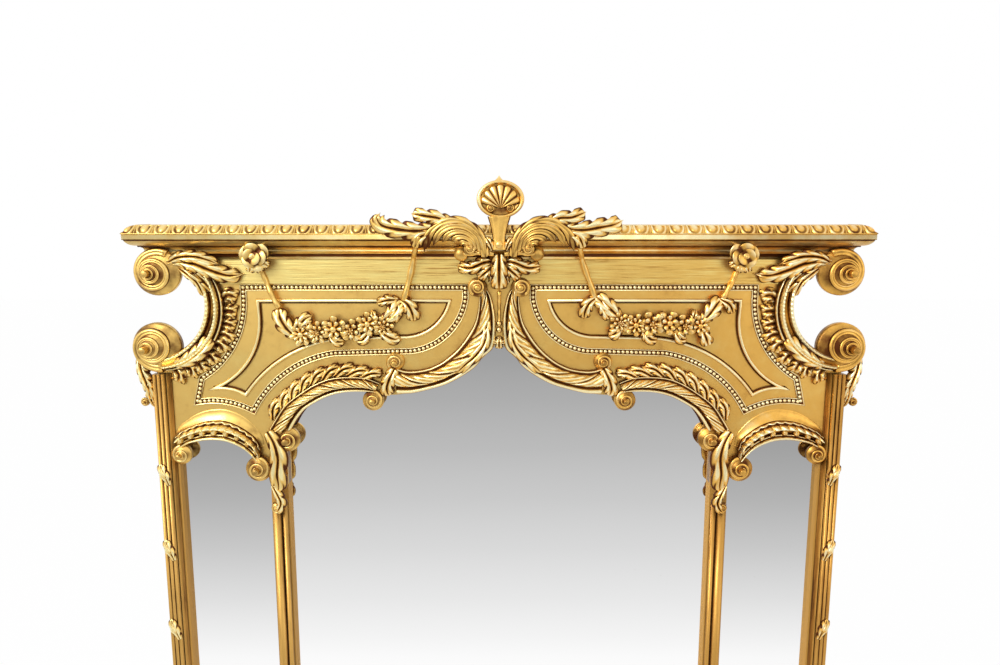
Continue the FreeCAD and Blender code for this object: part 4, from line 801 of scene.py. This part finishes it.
def cove_beyond(rail, width, high):
    """Narrow cove outside a rail: from high at the rail it falls off as a power of the share across.

    Its width follows half a wave along the rail, so that it runs out at both ends.
    """
    tuck = 2
    along = np.gradient(rail, axis=0)
    out = np.stack([-along[:, 1], along[:, 0]], 1) / np.linalg.norm(along, axis=1)[:, None]
    out *= np.sign(out[len(rail) // 2, 1])
    spread = width * np.sin(np.linspace(0.25, np.pi - 0.25, len(rail)))[:, None]
    across = np.linspace(0, 1, 9)[None, :, None]
    flat = rail[:, None] - tuck * out[:, None] + (out * (spread + tuck))[:, None] * across
    fall = 0.4 + high * (1 - across[..., 0]) ** 2.2 + 0 * rail[:, :1]
    face = np.stack([flat[..., 0], -fall, flat[..., 1]], -1)
    back = np.stack([flat[:, ::-4, 0], np.full((len(rail), 3), 0.5), flat[:, ::-4, 1]], -1)
    return tube(np.concatenate([face, back], 1), 0.1)


side_near = above([
    (13, 41), (30, 50), (55, 56), (84, 59), (115, 56), (143, 46), (167, 31), (185, 11),
    (199, -9)], side_in, -1)
side_far = above([
    (-3, 67.5), (14, 82), (34, 92), (59, 102), (88, 107), (119, 106), (154, 92), (189, 65),
    (201, 40)], side_in, -1)
side_rail = spline(side_far, 110)
side_parts = [band(spline(side_near, 110), side_rail, crown_section, carve=pierced(8))]
side_parts.append(cove_beyond(side_rail, 26, 9))
side_parts += roll(side_in - 10, shoulder + 23, 26, -1, 90, 0, -36)
side_parts += roll(side_in - 194, shoulder - 13, 33, 1, 100, 0, -42)
both_sides("side_scroll", side_parts, "side_arch_scroll")

# ------------------------------------------------------------------ crest
# A shell in a dished oval stands on a smooth neck; two long leaves spring from the neck and arch over
# the cornice. Each is carved from its own block and screwed to the front of the cornice.

crest_seat = -tip
medal = np.array([3.0, cornice_top + 56])


def dish(centre, half_wide, half_high, seat):
    """Oval dish: rings from its wall over a rounded rim down into its sunk middle."""
    rings = [(1.0, 8), (1.0, -2), (0.985, -6), (0.93, -8.5), (0.87, -8), (0.82, -4), (0.79, -1), (0.55, 1)]
    share, level = spline(rings + [(0.2, 1.5)], 30).T[:, :, None]
    turn = np.linspace(0, 2 * np.pi, 72, endpoint=False)
    x = centre[0] + half_wide * share * np.cos(turn)
    z = centre[1] + half_high * share * np.sin(turn)
    # painted shade deeper into the dish
    return tube(np.stack([x, seat + level + 0 * turn, z], -1), np.clip((level + 5) / 12, -0.3, 0.45))


def scallop(centre, reach_up, wide, seat, ribs=7):
    """Scallop shell: a fan from its hub, radius by angle with a lobe per rib, height by cosine ribs."""
    r = np.linspace(0, 1, 22)[:, None]
    f = np.linspace(-1, 1, 97)[None]
    angle = np.pi / 2 + f * 1.32
    rib = np.abs(np.cos(np.pi * f * ribs / 2))
    length = reach_up * (1 - 0.12 * f**2) * (0.93 + 0.07 * rib)
    x = centre[0] + wide * length * r * np.cos(angle)
    z = centre[1] + length * r * np.sin(angle)
    height = 3 + 8 * np.sin(np.pi * np.clip(r * 0.82 + 0.1, 0, 1)) * (0.55 + 0.45 * rib)
    top = np.stack([x, seat - height, z], -1)
    under = top[::-1].copy()
    under[..., 1] = seat + 2
    # painted shade between the ribs, painted dark on the back
    painted_shade = np.clip((0.7 - rib) * 1.5 + 0 * r, -0.3, 0.9)
    points = np.concatenate([top, under])
    return grid_closed(points, np.concatenate([painted_shade, painted_shade * 0 + 0.8]))


def grid_closed(points, painted_shade):
    """A fan's front and back as one body: rows joined in a ring, its two side edges drawn together."""
    side_one = points[:, :1].copy()
    side_two = points[:, -1:].copy()
    side_one[:] = side_one.mean(0)
    side_two[:] = side_two.mean(0)
    points = np.concatenate([side_one, points, side_two], 1)
    painted_shade = np.concatenate([painted_shade[:, :1], painted_shade, painted_shade[:, -1:]], 1)
    return grid(points, painted_shade, loop=True)


medal_parts = [dish(medal, 53, 42, crest_seat - 1), scallop(medal - [0, 20], 52, 0.98, crest_seat + 1)]
for side in (-1, 1):
    medal_parts += roll(medal[0] + side * 21, medal[1] - 20, 11, -side, 90, crest_seat, crest_seat - 14)
drop_rows = spline([(10, 35), (11, 39), (7, 43), (3.4, 47), (0.4, 51.5)], 14)
turn = np.linspace(0, 2 * np.pi, 20, endpoint=False)[None]
ring_size, ring_z = drop_rows[:, :1], medal[1] + drop_rows[:, 1:]
ring_y = crest_seat - ring_size * np.sin(turn) * 0.7
# painted highlight on the drop
medal_parts.append(tube(np.stack([ring_size * np.cos(turn), ring_y, ring_z + 0 * turn], -1), -0.2))
carved("shell_medallion", medal_parts, "crest_cartouche")

neck_rows = [(-26, 18), (-20, -2), (-15, -26), (-14.5, -40), (-16, -56)]
left_edge = spline([(x, cornice_top + z) for x, z in neck_rows], 40)
neck_section = [(0, 4), (0.05, 9), (0.2, 12), (0.5, 13), (0.8, 12), (0.95, 9), (1.0, 4)]
neck = band(left_edge, left_edge * [-1, 1], neck_section, crest_seat)
heel = button(0, bed_top + 7, 9, crest_seat + 2, crest_seat - 19, 0.7)
wings = []
for side in (-1, 1):
    wing = [(side * 15, bed_top - 6, 0), (side * 20, bed_top + 8, 5), (side * 30, bed_top + 24, 4)]
    wings.append(acanthus(wing, 18, 8, 3, crest_seat, 0.4))
carved("crest_neck", [neck, heel] + wings, "crest_keystone")


def crest_spray(side, tail, lobe):
    """One side of the crest: nested pipes of leaf that break over like a wave, and two long tongues."""
    z = cornice_top
    parts = []
    for k in range(5):
        size = 76 - 15 * k
        turn = np.radians(np.linspace(-4 + 6 * k, 178 - 13 * k, 6))
        lift = np.array([0, 3, 6, 7, 6, 2]) * (1 - 0.1 * k)
        x = 100 - 5 * k - size * np.cos(turn) * 0.92
        up = z - 67 + 3 * k + size * np.sin(turn)
        rib = list(zip(x, up, lift))
        lobes = 5 if k == 0 else 1
        wide = 23 - 1.5 * k
        # tone 0.5: painted shade over the nested pipes, darkest at their edges
        pipe = acanthus(rib, wide, 10, lobes, crest_seat, 0.25, body=0.85, pipes=0.5, midrib=0, tone=0.5)
        parts.append(pipe)
    parts.append(acanthus([(106, z + 2, 2)] + lobe, 34, 10, 3, crest_seat, 0.35, body=0.7))
    parts.append(acanthus([(146, z - 10, 2)] + tail, 44, 10, 4, crest_seat, 0.35, body=0.6))
    hanging = [(150, z - 16, 2), (178, z - 30, 5), (190, z - 54, 2)]
    parts.append(acanthus(hanging, 32, 10, 2, crest_seat, 0.3))
    parts += roll(66, z - 54, 14, 1, 120, crest_seat, crest_seat - 15)
    return [flipped(part) for part in parts] if side < 0 else parts


z = cornice_top
left_spray = crest_spray(
    -1, [(188, z - 14, 5), (228, z - 10, 5), (260, z - 2, 4), (271, z + 14, 6), (264, z + 26, 7)],
    [(134, z + 14, 5), (164, z + 19, 4), (196, z + 24, 2)])
right_spray = crest_spray(
    1, [(188, z - 12, 5), (226, z - 6, 5), (256, z, 3), (277, z + 10, 1)],
    [(134, z + 14, 5), (162, z + 16, 4), (194, z + 28, 2)])
carved("left_crest_spray", left_spray, "left_crest_leaf")
carved("right_crest_spray", right_spray, "right_crest_leaf")

# ------------------------------------------------------------------ panels of the spandrel
# Each side of the spandrel has a border of pearls between two fillets and, inside it, a plain astragal
# round a sunk field. Both are run apart and glued down; they follow the arches and the ear.


def inset(line, by):
    """Closed outline moved by a distance across its own way, corner points held to a mitre."""
    before, after = line - np.roll(line, 1, 0), np.roll(line, -1, 0) - line
    before /= np.linalg.norm(before, axis=1)[:, None]
    after /= np.linalg.norm(after, axis=1)[:, None]
    mean = before + after
    mean /= np.maximum(np.linalg.norm(mean, axis=1), 1e-6)[:, None]
    spread = by / np.clip((mean * after).sum(1), 0.35, 1)
    return line + np.stack([mean[:, 1], -mean[:, 0]], 1) * spread[:, None]


def strip(line, profile):
    """Moulding along a front-view outline: profile points are (distance across, height)."""
    across, height = np.asarray(profile, float).T
    rows = np.stack([inset(line, by) for by in across], 1)
    points = np.stack([rows[..., 0], -np.broadcast_to(height, rows.shape[:2]), rows[..., 1]], -1)
    shade = shade_of(np.stack([across, height], 1))
    return grid(points, np.broadcast_to(shade, points.shape[:2]), ring=True, loop=True)


def pearls(line, pitch, radius, seat):
    """A row of turned pearls along a line: each a half ball of three rings of eight."""
    steps = np.linalg.norm(np.diff(line, axis=0), axis=1).sum()
    places = respaced(line, int(steps / pitch) + 1)[:-1]
    turns = np.linspace(0, 2 * np.pi, 8, endpoint=False)
    up, turn = np.meshgrid(np.radians([0, 28, 60]), turns, indexing="ij")
    shape = np.stack([np.cos(up) * np.cos(turn), -np.sin(up), np.cos(up) * np.sin(turn)], -1)
    # each pearl carries a painted highlight
    return [tube(shape * radius + [x, seat, z], -0.6) for x, z in places]


border = above([
    (599, 426), (599, 390), (708, 209), (722, 151), (589, 129), (391, 270), (209, 275), (79, 400), (79, 426)])
border = path(border, {1: 27, 3: 12, 4: 29, 6: -31})
field = above([(566, 395), (565, 365), (684.5, 183), (605, 168.6), (367, 305.3), (225, 307.7), (116, 395)])
field = path(field, {1: 37, 2: 8, 3: 31, 5: -25})
fillets = [(-7.6, 0), (-7.6, 3), (-6, 3.6), (-5, 0.8), (5, 0.8), (6, 3.6), (7.6, 3), (7.6, 0)]
border_parts = [strip(border, fillets)] + pearls(np.vstack([border, border[:1]]), 10.4, 4.7, -0.6)
pair("pearl_borders", border_parts, "panel_beading")
round_bead = [(-4, 0), (-3.6, 2.6), (-2.4, 4.8), (-0.8, 5.9), (0.8, 5.9), (2.4, 4.8), (3.6, 2.6), (3.8, 0.6)]
round_bead += [(6.6, 0.6), (6.6, 0)]
pair("field_astragals", [strip(field, round_bead)], "panel_moulding")

# ------------------------------------------------------------------ garlands
# Each garland hangs from a flower boss on the bed moulding and from behind a leaf of the crest: two
# stems with long leaves, and between them a swag of open flowers and small leaves.


def blossom(x, z, radius, seat, out, petals=6, turned=0.0, layers=2):
    """Open flower: layered petals round a button; radius and height by angle with a lobe per petal."""
    parts = []
    for layer in range(layers):
        size = radius * (1 - 0.36 * layer)
        r = np.linspace(0.05, 1, 12)[:, None]
        f = np.linspace(0, 2 * np.pi, 12 * petals, endpoint=False)[None]
        lobe = np.abs(np.cos(petals * (f - turned - layer * 0.5) / 2))
        length = size * (0.64 + 0.46 * lobe**0.45)
        swell = np.sin(np.pi * np.clip(r * 0.85, 0, 1)) * (0.4 + 0.6 * lobe)
        cup = out * (0.26 + 0.26 * layer) + out * 0.22 * swell
        cup = cup + out * 0.22 * r**2 * lobe
        top = np.stack([x + length * r * np.cos(f), seat - cup, z + length * r * np.sin(f)], -1)
        under = np.concatenate([top[-1:] + [0, 2.2, 0], top[:1] * 0.4 + top[-1:] * 0.6])
        under[1, :, 1] = seat
        # painted shade between the petals, toward the middle and on the lower layer
        painted_shade = np.clip((0.6 - lobe) * 1.6 + (1 - r) * 0.7 - 0.05 + 0.25 * (layer == 0), -0.8, 1)
        painted_shade = np.concatenate([painted_shade, np.full((2, f.size), 0.9)])
        parts.append(tube(np.concatenate([top, under]), painted_shade))
    parts.append(button(x, z, radius * 0.24, seat - out * 0.5, seat - out * 0.92, 0.5))
    return parts


def stem(points, radius, seat):
    """Twig along points (x, z, lift): a round rod that thins a little and waves out from the board."""
    line = spline([(*point, 0)[:3] for point in points], 40)
    u = np.linspace(0, 1, 40)[:, None]
    way = np.gradient(line[:, :2], axis=0)
    way /= np.linalg.norm(way, axis=1)[:, None]
    turn = np.linspace(0, 2 * np.pi, 10, endpoint=False)[None]
    size = radius * (1 - 0.25 * u) * (1 + 0.12 * np.sin(u * 19))
    x = line[:, :1] + size * np.cos(turn) * way[:, 1:]
    z = line[:, 1:2] - size * np.cos(turn) * way[:, :1]
    y = seat - line[:, 2:] - radius - 1.5 * np.sin(u * 7) - size * np.sin(turn)
    # painted shade on the rod's flanks, painted highlight on its front
    return tube(np.stack([x, y, z], -1), -0.1 + 0.5 * np.cos(turn) ** 2 * np.ones_like(u))


garland_seat = -6.3


def swag(side, flowers, leaves):
    """One garland: flowers (x, z, radius) from its outer end inward, then leaves as (points, width, lobes)."""
    dice = np.random.default_rng(11 + side)
    parts = []
    for k, (x, z, size) in enumerate(flowers):
        petals, turned, layers = int(dice.integers(5, 8)), dice.uniform(0, 3), 2 + k % 2
        parts += blossom(x, z, size * 1.12, garland_seat, size * 1.15 + 4, petals, turned, layers)
    for k, (x, z, size) in enumerate(flowers[:-1]):
        far_x, far_z, _ = flowers[k + 1]
        bud_x, bud_z = (x + far_x) / 2, (z + far_z) / 2 + dice.uniform(-16, 14)
        parts.append(button(bud_x, bud_z, 6, garland_seat, garland_seat - 18, 0.9))
        up = 14 * (-1) ** k
        sprig = [(bud_x, bud_z - up * 0.4, 3), (bud_x + 4, bud_z + up, 8), (bud_x + 9, bud_z + up * 2.0, 5)]
        parts.append(acanthus(sprig, 20, 8, 3, garland_seat, 0.35))
    for points, wide, lobes in leaves:
        rib = [(*point, lift) for point, lift in zip(points, (3, 9, 6, 3))]
        parts.append(acanthus(rib, wide, 10, lobes, garland_seat, 0.4))
    return [flipped(part) for part in parts] if side < 0 else parts


# flowers and leaves are placed from the middle of the front and above the stiles' shoulder
left_flowers = [
    (462, 318, 23), (424, 322, 22), (385, 331, 25), (345, 327, 22), (306, 343, 23), (270, 336, 20)]
left_leaves = [
    ([(474, 308), (494, 330), (510, 356), (514, 382)], 44, 3), ([(484, 316), (456, 350), (436, 362)], 36, 3),
    ([(276, 342), (250, 364), (234, 384), (222, 398)], 44, 3),
    ([(280, 328), (262, 314), (244, 306), (232, 310)], 34, 2),
    ([(300, 330), (318, 306), (336, 304)], 30, 2), ([(400, 318), (380, 302), (362, 300)], 30, 2),
    ([(230, 400), (212, 388), (202, 366), (200, 346)], 38, 3), ([(236, 392), (240, 368), (252, 346)], 32, 3),
    ([(234, 398), (260, 398), (286, 390)], 28, 3)]
right_flowers = [
    (468, 338, 20), (432, 338, 22), (396, 345, 23), (356, 342, 25), (318, 340, 22), (282, 345, 20)]
right_leaves = [
    ([(474, 346), (490, 366), (506, 388), (520, 402)], 44, 3),
    ([(474, 332), (482, 312), (488, 298), (492, 288)], 34, 2),
    ([(284, 354), (264, 372), (242, 392), (222, 408)], 44, 3), ([(288, 336), (270, 320), (256, 314)], 34, 2),
    ([(340, 330), (352, 308), (372, 304)], 30, 2), ([(410, 330), (424, 308), (440, 306)], 30, 2),
    ([(228, 404), (210, 392), (200, 372), (198, 352)], 34, 3), ([(514, 400), (534, 388), (546, 366)], 30, 3),
    ([(236, 398), (246, 374), (260, 352)], 32, 3)]
garlands = ((-1, "left", left_flowers, left_leaves), (1, "right", right_flowers, right_leaves))
for side, word, flowers, leaves in garlands:
    flowers = [(x, z + shoulder, size) for x, z, size in flowers]
    leaves = [([(x, z + shoulder) for x, z in points], wide, lobes) for points, wide, lobes in leaves]
    carved(word + "_swag", swag(side, flowers, leaves), word + "_garland")
outer_left = [(512, 1530), (526, 1556), (538, 1586), (552, 1624)]
outer_right = [(520, 1552), (530, 1572), (541, 1592), (552, 1624)]
inner_left = [
    (222, 1546, 0), (214, 1574, 2), (206, 1602, 4), (198, 1637, 12), (192, 1656, 30), (184, 1682, 50),
    (178, 1696, 52)]
inner_right = [
    (221, 1556, 0), (214, 1578, 2), (203, 1606, 4), (192, 1637, 12), (186, 1656, 30), (178, 1682, 50),
    (172, 1696, 52)]
stems = [flipped(stem(line, 7, -8)) for line in (outer_left, inner_left)]
stems += [stem(line, 7, -8) for line in (outer_right, inner_right)]
carved("swag_stems", stems, "garland_stems")
boss_parts = blossom(555, 1651, 32, -34, 20, 3, 0.3, 1) + blossom(556, 1652, 27, -42, 20, 3, 1.3, 1)
boss_parts += blossom(558, 1650, 18, -52, 12, 2, 0.6, 1)
for turn in (215, 250, 290):
    away = np.array([math.cos(math.radians(turn)), math.sin(math.radians(turn))])
    foot, head = [556, 1650] + away * 18, [556, 1650] + away * 38
    boss_parts.append(acanthus([(*foot, 4), (*head, 4)], 20, 8, 2, -33, 0.3, body=0.7))
pair("flower_bosses", boss_parts, "garland_bosses")

# ------------------------------------------------------------------ ear leaves, brackets and drops
# Long leaves spray from each upper roll along the frieze. Under each ear a leafy bracket turns to the
# stile, a leaf hangs on each mullion, and three small leaf ties cross each stile's reeds.

long_spray = [
    (768, 1630, 0), (735, 1640, 10), (698, 1634, 14), (660, 1618, 11), (622, 1606, 7), (588, 1609, 4)]
high_spray = [(762, 1634, 4), (730, 1648, 14), (694, 1650, 14), (664, 1642, 10), (640, 1630, 6)]
low_spray = [(752, 1624, 2), (716, 1616, 12), (684, 1594, 10), (662, 1562, 4)]
inner_spray = [(744, 1626, 2), (718, 1612, 14), (694, 1590, 12), (682, 1552, 4)]
sprays = [
    acanthus(long_spray, 46, 16, 6, -12, 0.5, body=0.4), acanthus(high_spray, 32, 13, 5, -18, 0.5),
    acanthus(low_spray, 36, 14, 4, -4, 0.5), acanthus(inner_spray, 24, 13, 4, -10, 0.5)]
both_sides("ear_spray", sprays, "ear_leaf")

outer_leaf = [(850, 1412, 2), (845, 1382, 5), (835, 1352, 5), (829, 1326, 3), (834, 1304, 3)]
inner_leaf = [(824, 1362, 0), (832, 1336, 2), (828, 1308, 1), (820, 1286, 0)]
bracket_parts = [acanthus(outer_leaf, 34, 14, 5, 0, 0.4, body=0.5), acanthus(inner_leaf, 20, 12, 3, 0, 0.4)]
bracket_parts += roll(846, 1302, 11, -1, 90, 0, -17, 1.6)
pair("ear_brackets", bracket_parts, "side_brackets")

drop_seat = -17.5
long_leaf = [(552, 1234, 0), (536, 1206, 3), (528, 1170, 3), (532, 1130, 2), (530, 1098, 2), (534, 1078, 2)]
curled_tip = [(546, 1100, 0), (532, 1076, 3), (526, 1056, 2), (536, 1036, 3), (546, 1036, 5)]
drop_parts = [acanthus(long_leaf, 46, 12, 3, drop_seat, 0.25, body=0.45)]
drop_parts.append(acanthus(curled_tip, 26, 11, 4, drop_seat, 0.4))
drop_parts += roll(540, 1042, 12, 1, -90, drop_seat, -31, 1.7)
pair("mullion_drops", drop_parts, "leaf_drops")

ties = []
reed_face = -20.5
for below_shoulder in (22, 214, 422):
    z = shoulder - below_shoulder
    rising = [(794, z - 28, 0), (800, z - 8, 2), (808, z + 10, 1.5), (812, z + 28, 0)]
    falling = [(813, z + 16, 0), (808, z, 2), (801, z - 14, 1)]
    ties += [acanthus(rising, 24, 6, 3, reed_face, 0.4), acanthus(falling, 18, 6, 2, reed_face, 0.4)]
pair("stile_leaves", ties, "stile_ties")

# ------------------------------------------------------------------ middle bracket and drops
# A level bracket with ball ends carries the crest; a bellflower hangs under it, then a rod with two
# pearls and a small fan closes the point of the arch. All are carved apart and pinned on.

centre_parts = []
for side in (-1, 1):
    arm = [(side * 12, 1657), (side * 40, 1659), (side * 66, 1656), (side * 80, 1657)]
    arm_leaf = [(side * 10, 1664, 0), (side * 34, 1668, 4), (side * 60, 1664, 2)]
    centre_parts += [stem(arm, 6, -44), acanthus(arm_leaf, 16, 8, 4, -46, 0.4)]
    # the ball ends get painted shade
    centre_parts.append(button(side * 86, 1656.5, 17, -32, -52, 0.8, 0.35))
carved("crest_arms", centre_parts, "crest_bracket")

bell = [acanthus([(0, 1657, 14), (0, 1632, 12), (0, 1600, 10), (0, 1571, 2)], 42, 18, 3, -22, 0.35, body=0.6)]
for side in (-1, 1):
    level = [(side * 8, 1638, 0), (side * 34, 1636, 8), (side * 66, 1624, 8), (side * 98, 1628, 2)]
    slanted = [(side * 8, 1630, 0), (side * 28, 1616, 8), (side * 48, 1598, 2)]
    hanging = [(side * 4, 1626, 0), (side * 14, 1604, 6), (side * 20, 1584, 1)]
    bell.append(acanthus(level, 34, 14, 4, -20, 0.45, body=0.5))
    bell.append(acanthus(slanted, 30, 13, 3, -18, 0.4, body=0.5))
    bell.append(acanthus(hanging, 18, 12, 2, -16, 0.4, body=0.5))
carved("bellflower", bell, "pendant_bellflower")

rod = stem([(0, 1568), (0, 1540), (0, 1510), (0, 1496)], 4.5, -2)
fan = []
for f in (-1, -0.5, 0.001, 0.5, 1):
    bend = 1 - abs(f)
    finger = [(0, 1444, 0), (9 * f, 1448 + 6 * bend, 3), (20 * f, 1448 + 14 * bend, 1)]
    fan.append(acanthus(finger, 12, 9, 2, -1, 0.3))
fan.append(acanthus([(0, 1462, 0), (0, 1448, 4), (0, 1430, 1)], 22, 10, 3, -1, 0.35))
apex_parts = [rod, button(0, 1476, 7, -1, -10, 0.8), button(0, 1491, 7, -1, -10, 0.8)] + fan
carved("apex_drop", apex_parts, "apex_pendant")

# ------------------------------------------------------------------ hanging plates
# Two plates of sheet brass lie on the back of the top rail, a hole for the wall screw in each. Two
# slotted screws, above and below that hole, hold each plate to the rail.

brass = Finish("worn_brass", Metallic=1.0)
brass_cloud = brass.noise(60.0)
brass.use(
    Base_Color=brass.mix(brass_cloud.step(0.35, 0.7), colour(196, 158, 84), colour(122, 92, 46)),
    Roughness=brass_cloud * 0.25 + 0.28,
)
hanger_height, hanger_place, rail_back, plate_back = 1665, 600, 41, 43.3
half_wide, half_high, corner_cut, hole, rounding = 17, 35, 5, 4.5, 0.5
head_radius, head_rise, slot_half, screw_place = 4.2, 0.7, 0.5, 23
spin = np.linspace(0, 2 * np.pi, 120, endpoint=False)
cosine, sine = np.cos(spin), np.sin(spin)
wide, high = np.abs(cosine) + 1e-9, np.abs(sine) + 1e-9
corner = (half_wide + half_high - corner_cut) / (wide + high)
outline = np.minimum(np.minimum(half_wide / wide, half_high / high), corner)
edge_back = plate_back - rounding
plate_rings = [(0 * spin + hole, rail_back), (outline, rail_back), (outline, edge_back)]
plate_rings += [(outline - rounding, plate_back), (0 * spin + hole + rounding, plate_back)]
plate_rings += [(0 * spin + hole, edge_back)]
brass_parts = []
for x in (-hanger_place, hanger_place):
    z = hanger_height
    rings = [np.stack([x + size * cosine, 0 * size + y, z + size * sine], -1) for size, y in plate_rings]
    brass_parts.append(grid(np.array(rings), ring=True, loop=True))
    for up, slot_turn in ((-screw_place, 0.4), (screw_place, 1.3)):
        size = np.linspace(head_radius, 0.01, 15)[:, None]
        slot = 0.6 * np.exp(-((size * np.sin(spin - slot_turn) / slot_half) ** 4))
        head = head_rise * np.sqrt(np.clip(1 - (size / head_radius) ** 2, 0, 1)) - slot
        head = plate_back + np.clip(head, -0.5, 1) * smooth(head_radius, head_radius - 0.6, size)
        brass_parts.append(tube(np.stack([x + size * cosine, head, hanger_height + up + size * sine], -1)))
piece("hanging_plates_and_screws", brass_parts, brass.material, "hanging_plates")

# ------------------------------------------------------------------ floor, light and camera
# A pale studio floor and a white sweep behind; broad soft lamps; a wide lens at standing height,
# as close as the photograph was taken.

floor_half = 14.0
floor_corners = [(-floor_half, -floor_half, 0), (floor_half, -floor_half, 0), (floor_half, floor_half, 0)]
floor_mesh = bpy.data.meshes.new("floor")
floor_mesh.from_pydata(floor_corners + [(-floor_half, floor_half, 0)], [], [(0, 1, 2, 3)])
floor = bpy.data.objects.new("floor", floor_mesh)
bpy.context.scene.collection.objects.link(floor)
pale = Finish("pale_floor", Base_Color=(0.86, 0.86, 0.86, 1), Roughness=0.9)
camera_ray = pale.node("ShaderNodeLightPath", {}, out="Is Camera Ray")
mirrored_ray = pale.node("ShaderNodeLightPath", {}, out="Is Glossy Ray")
shows_white = (camera_ray * 0.985).math("MAXIMUM", mirrored_ray)
far = pale.along(1) * -1
# seen in the plates, the floor glows from white at the foot of the mirror to grey across the room:
# a painted reflection of a darker room, which only mirrored rays see
room = 10
greys = [(0.0, 255), (0.97, 252), (1.12, 245), (1.44, 233), (1.97, 218), (2.67, 203), (3.68, 188), (5.23, 174)]
greys += [(7.25, 161), (room, 150)]
stops = [(metres / room, colour(grey, grey, grey)) for metres, grey in greys]
painted_room_reflection = pale.ramp(((far / room) * mirrored_ray).clip(), stops)
glow_and_painted_reflection = pale.node("ShaderNodeEmission", {}, painted_room_reflection, Strength=1.0)
shown = pale.node("ShaderNodeMixShader", {}, shows_white, Value(pale, pale.shader.outputs[0]), glow_and_painted_reflection)
pale.tree.links.new(shown.socket, pale.tree.nodes["Material Output"].inputs[0])
floor_mesh.materials.append(pale.material)

world = bpy.data.worlds.new("studio")
bpy.context.scene.world = world
air = Nodes(world)
seen = air.node("ShaderNodeLightPath", {}, out="Is Camera Ray")
for ray in ("Is Glossy Ray", "Is Transmission Ray"):
    seen = seen.math("MAXIMUM", air.node("ShaderNodeLightPath", {}, out=ray))
air.tree.links.new((seen * 0.4 + 0.6).socket, air.tree.nodes["Background"].inputs["Strength"])
air.tree.nodes["Background"].inputs["Color"].default_value = (1, 1, 1, 1)


def lamp(name, place, aim, size, watts):
    """Square soft lamp that looks at a point."""
    light = bpy.data.lights.new(name, "AREA")
    light.energy, light.size = watts, size
    made = bpy.data.objects.new(name, light)
    made.location = place
    made.rotation_euler = (Vector(aim) - Vector(place)).to_track_quat("-Z", "Y").to_euler()
    bpy.context.scene.collection.objects.link(made)
    return made


middle = (0, 0, 1.3)
lamps = [
    lamp("key", (-2.2, -2.6, 3.2), middle, 1.6, 88),
    lamp("fill", (2.6, -2.4, 1.6), middle, 2.0, 10),
]

camera = bpy.data.cameras.new("camera")
camera.lens, camera.sensor_width = 27.0, 36.0
eye = bpy.data.objects.new("camera", camera)
bpy.context.scene.collection.objects.link(eye)
eye.location = (0.002, -1.75, 1.741)
eye.rotation_euler = (math.radians(90 - 8.83), 0, 0)
bpy.context.scene.camera = eye
bpy.context.scene.view_settings.view_transform = "Standard"
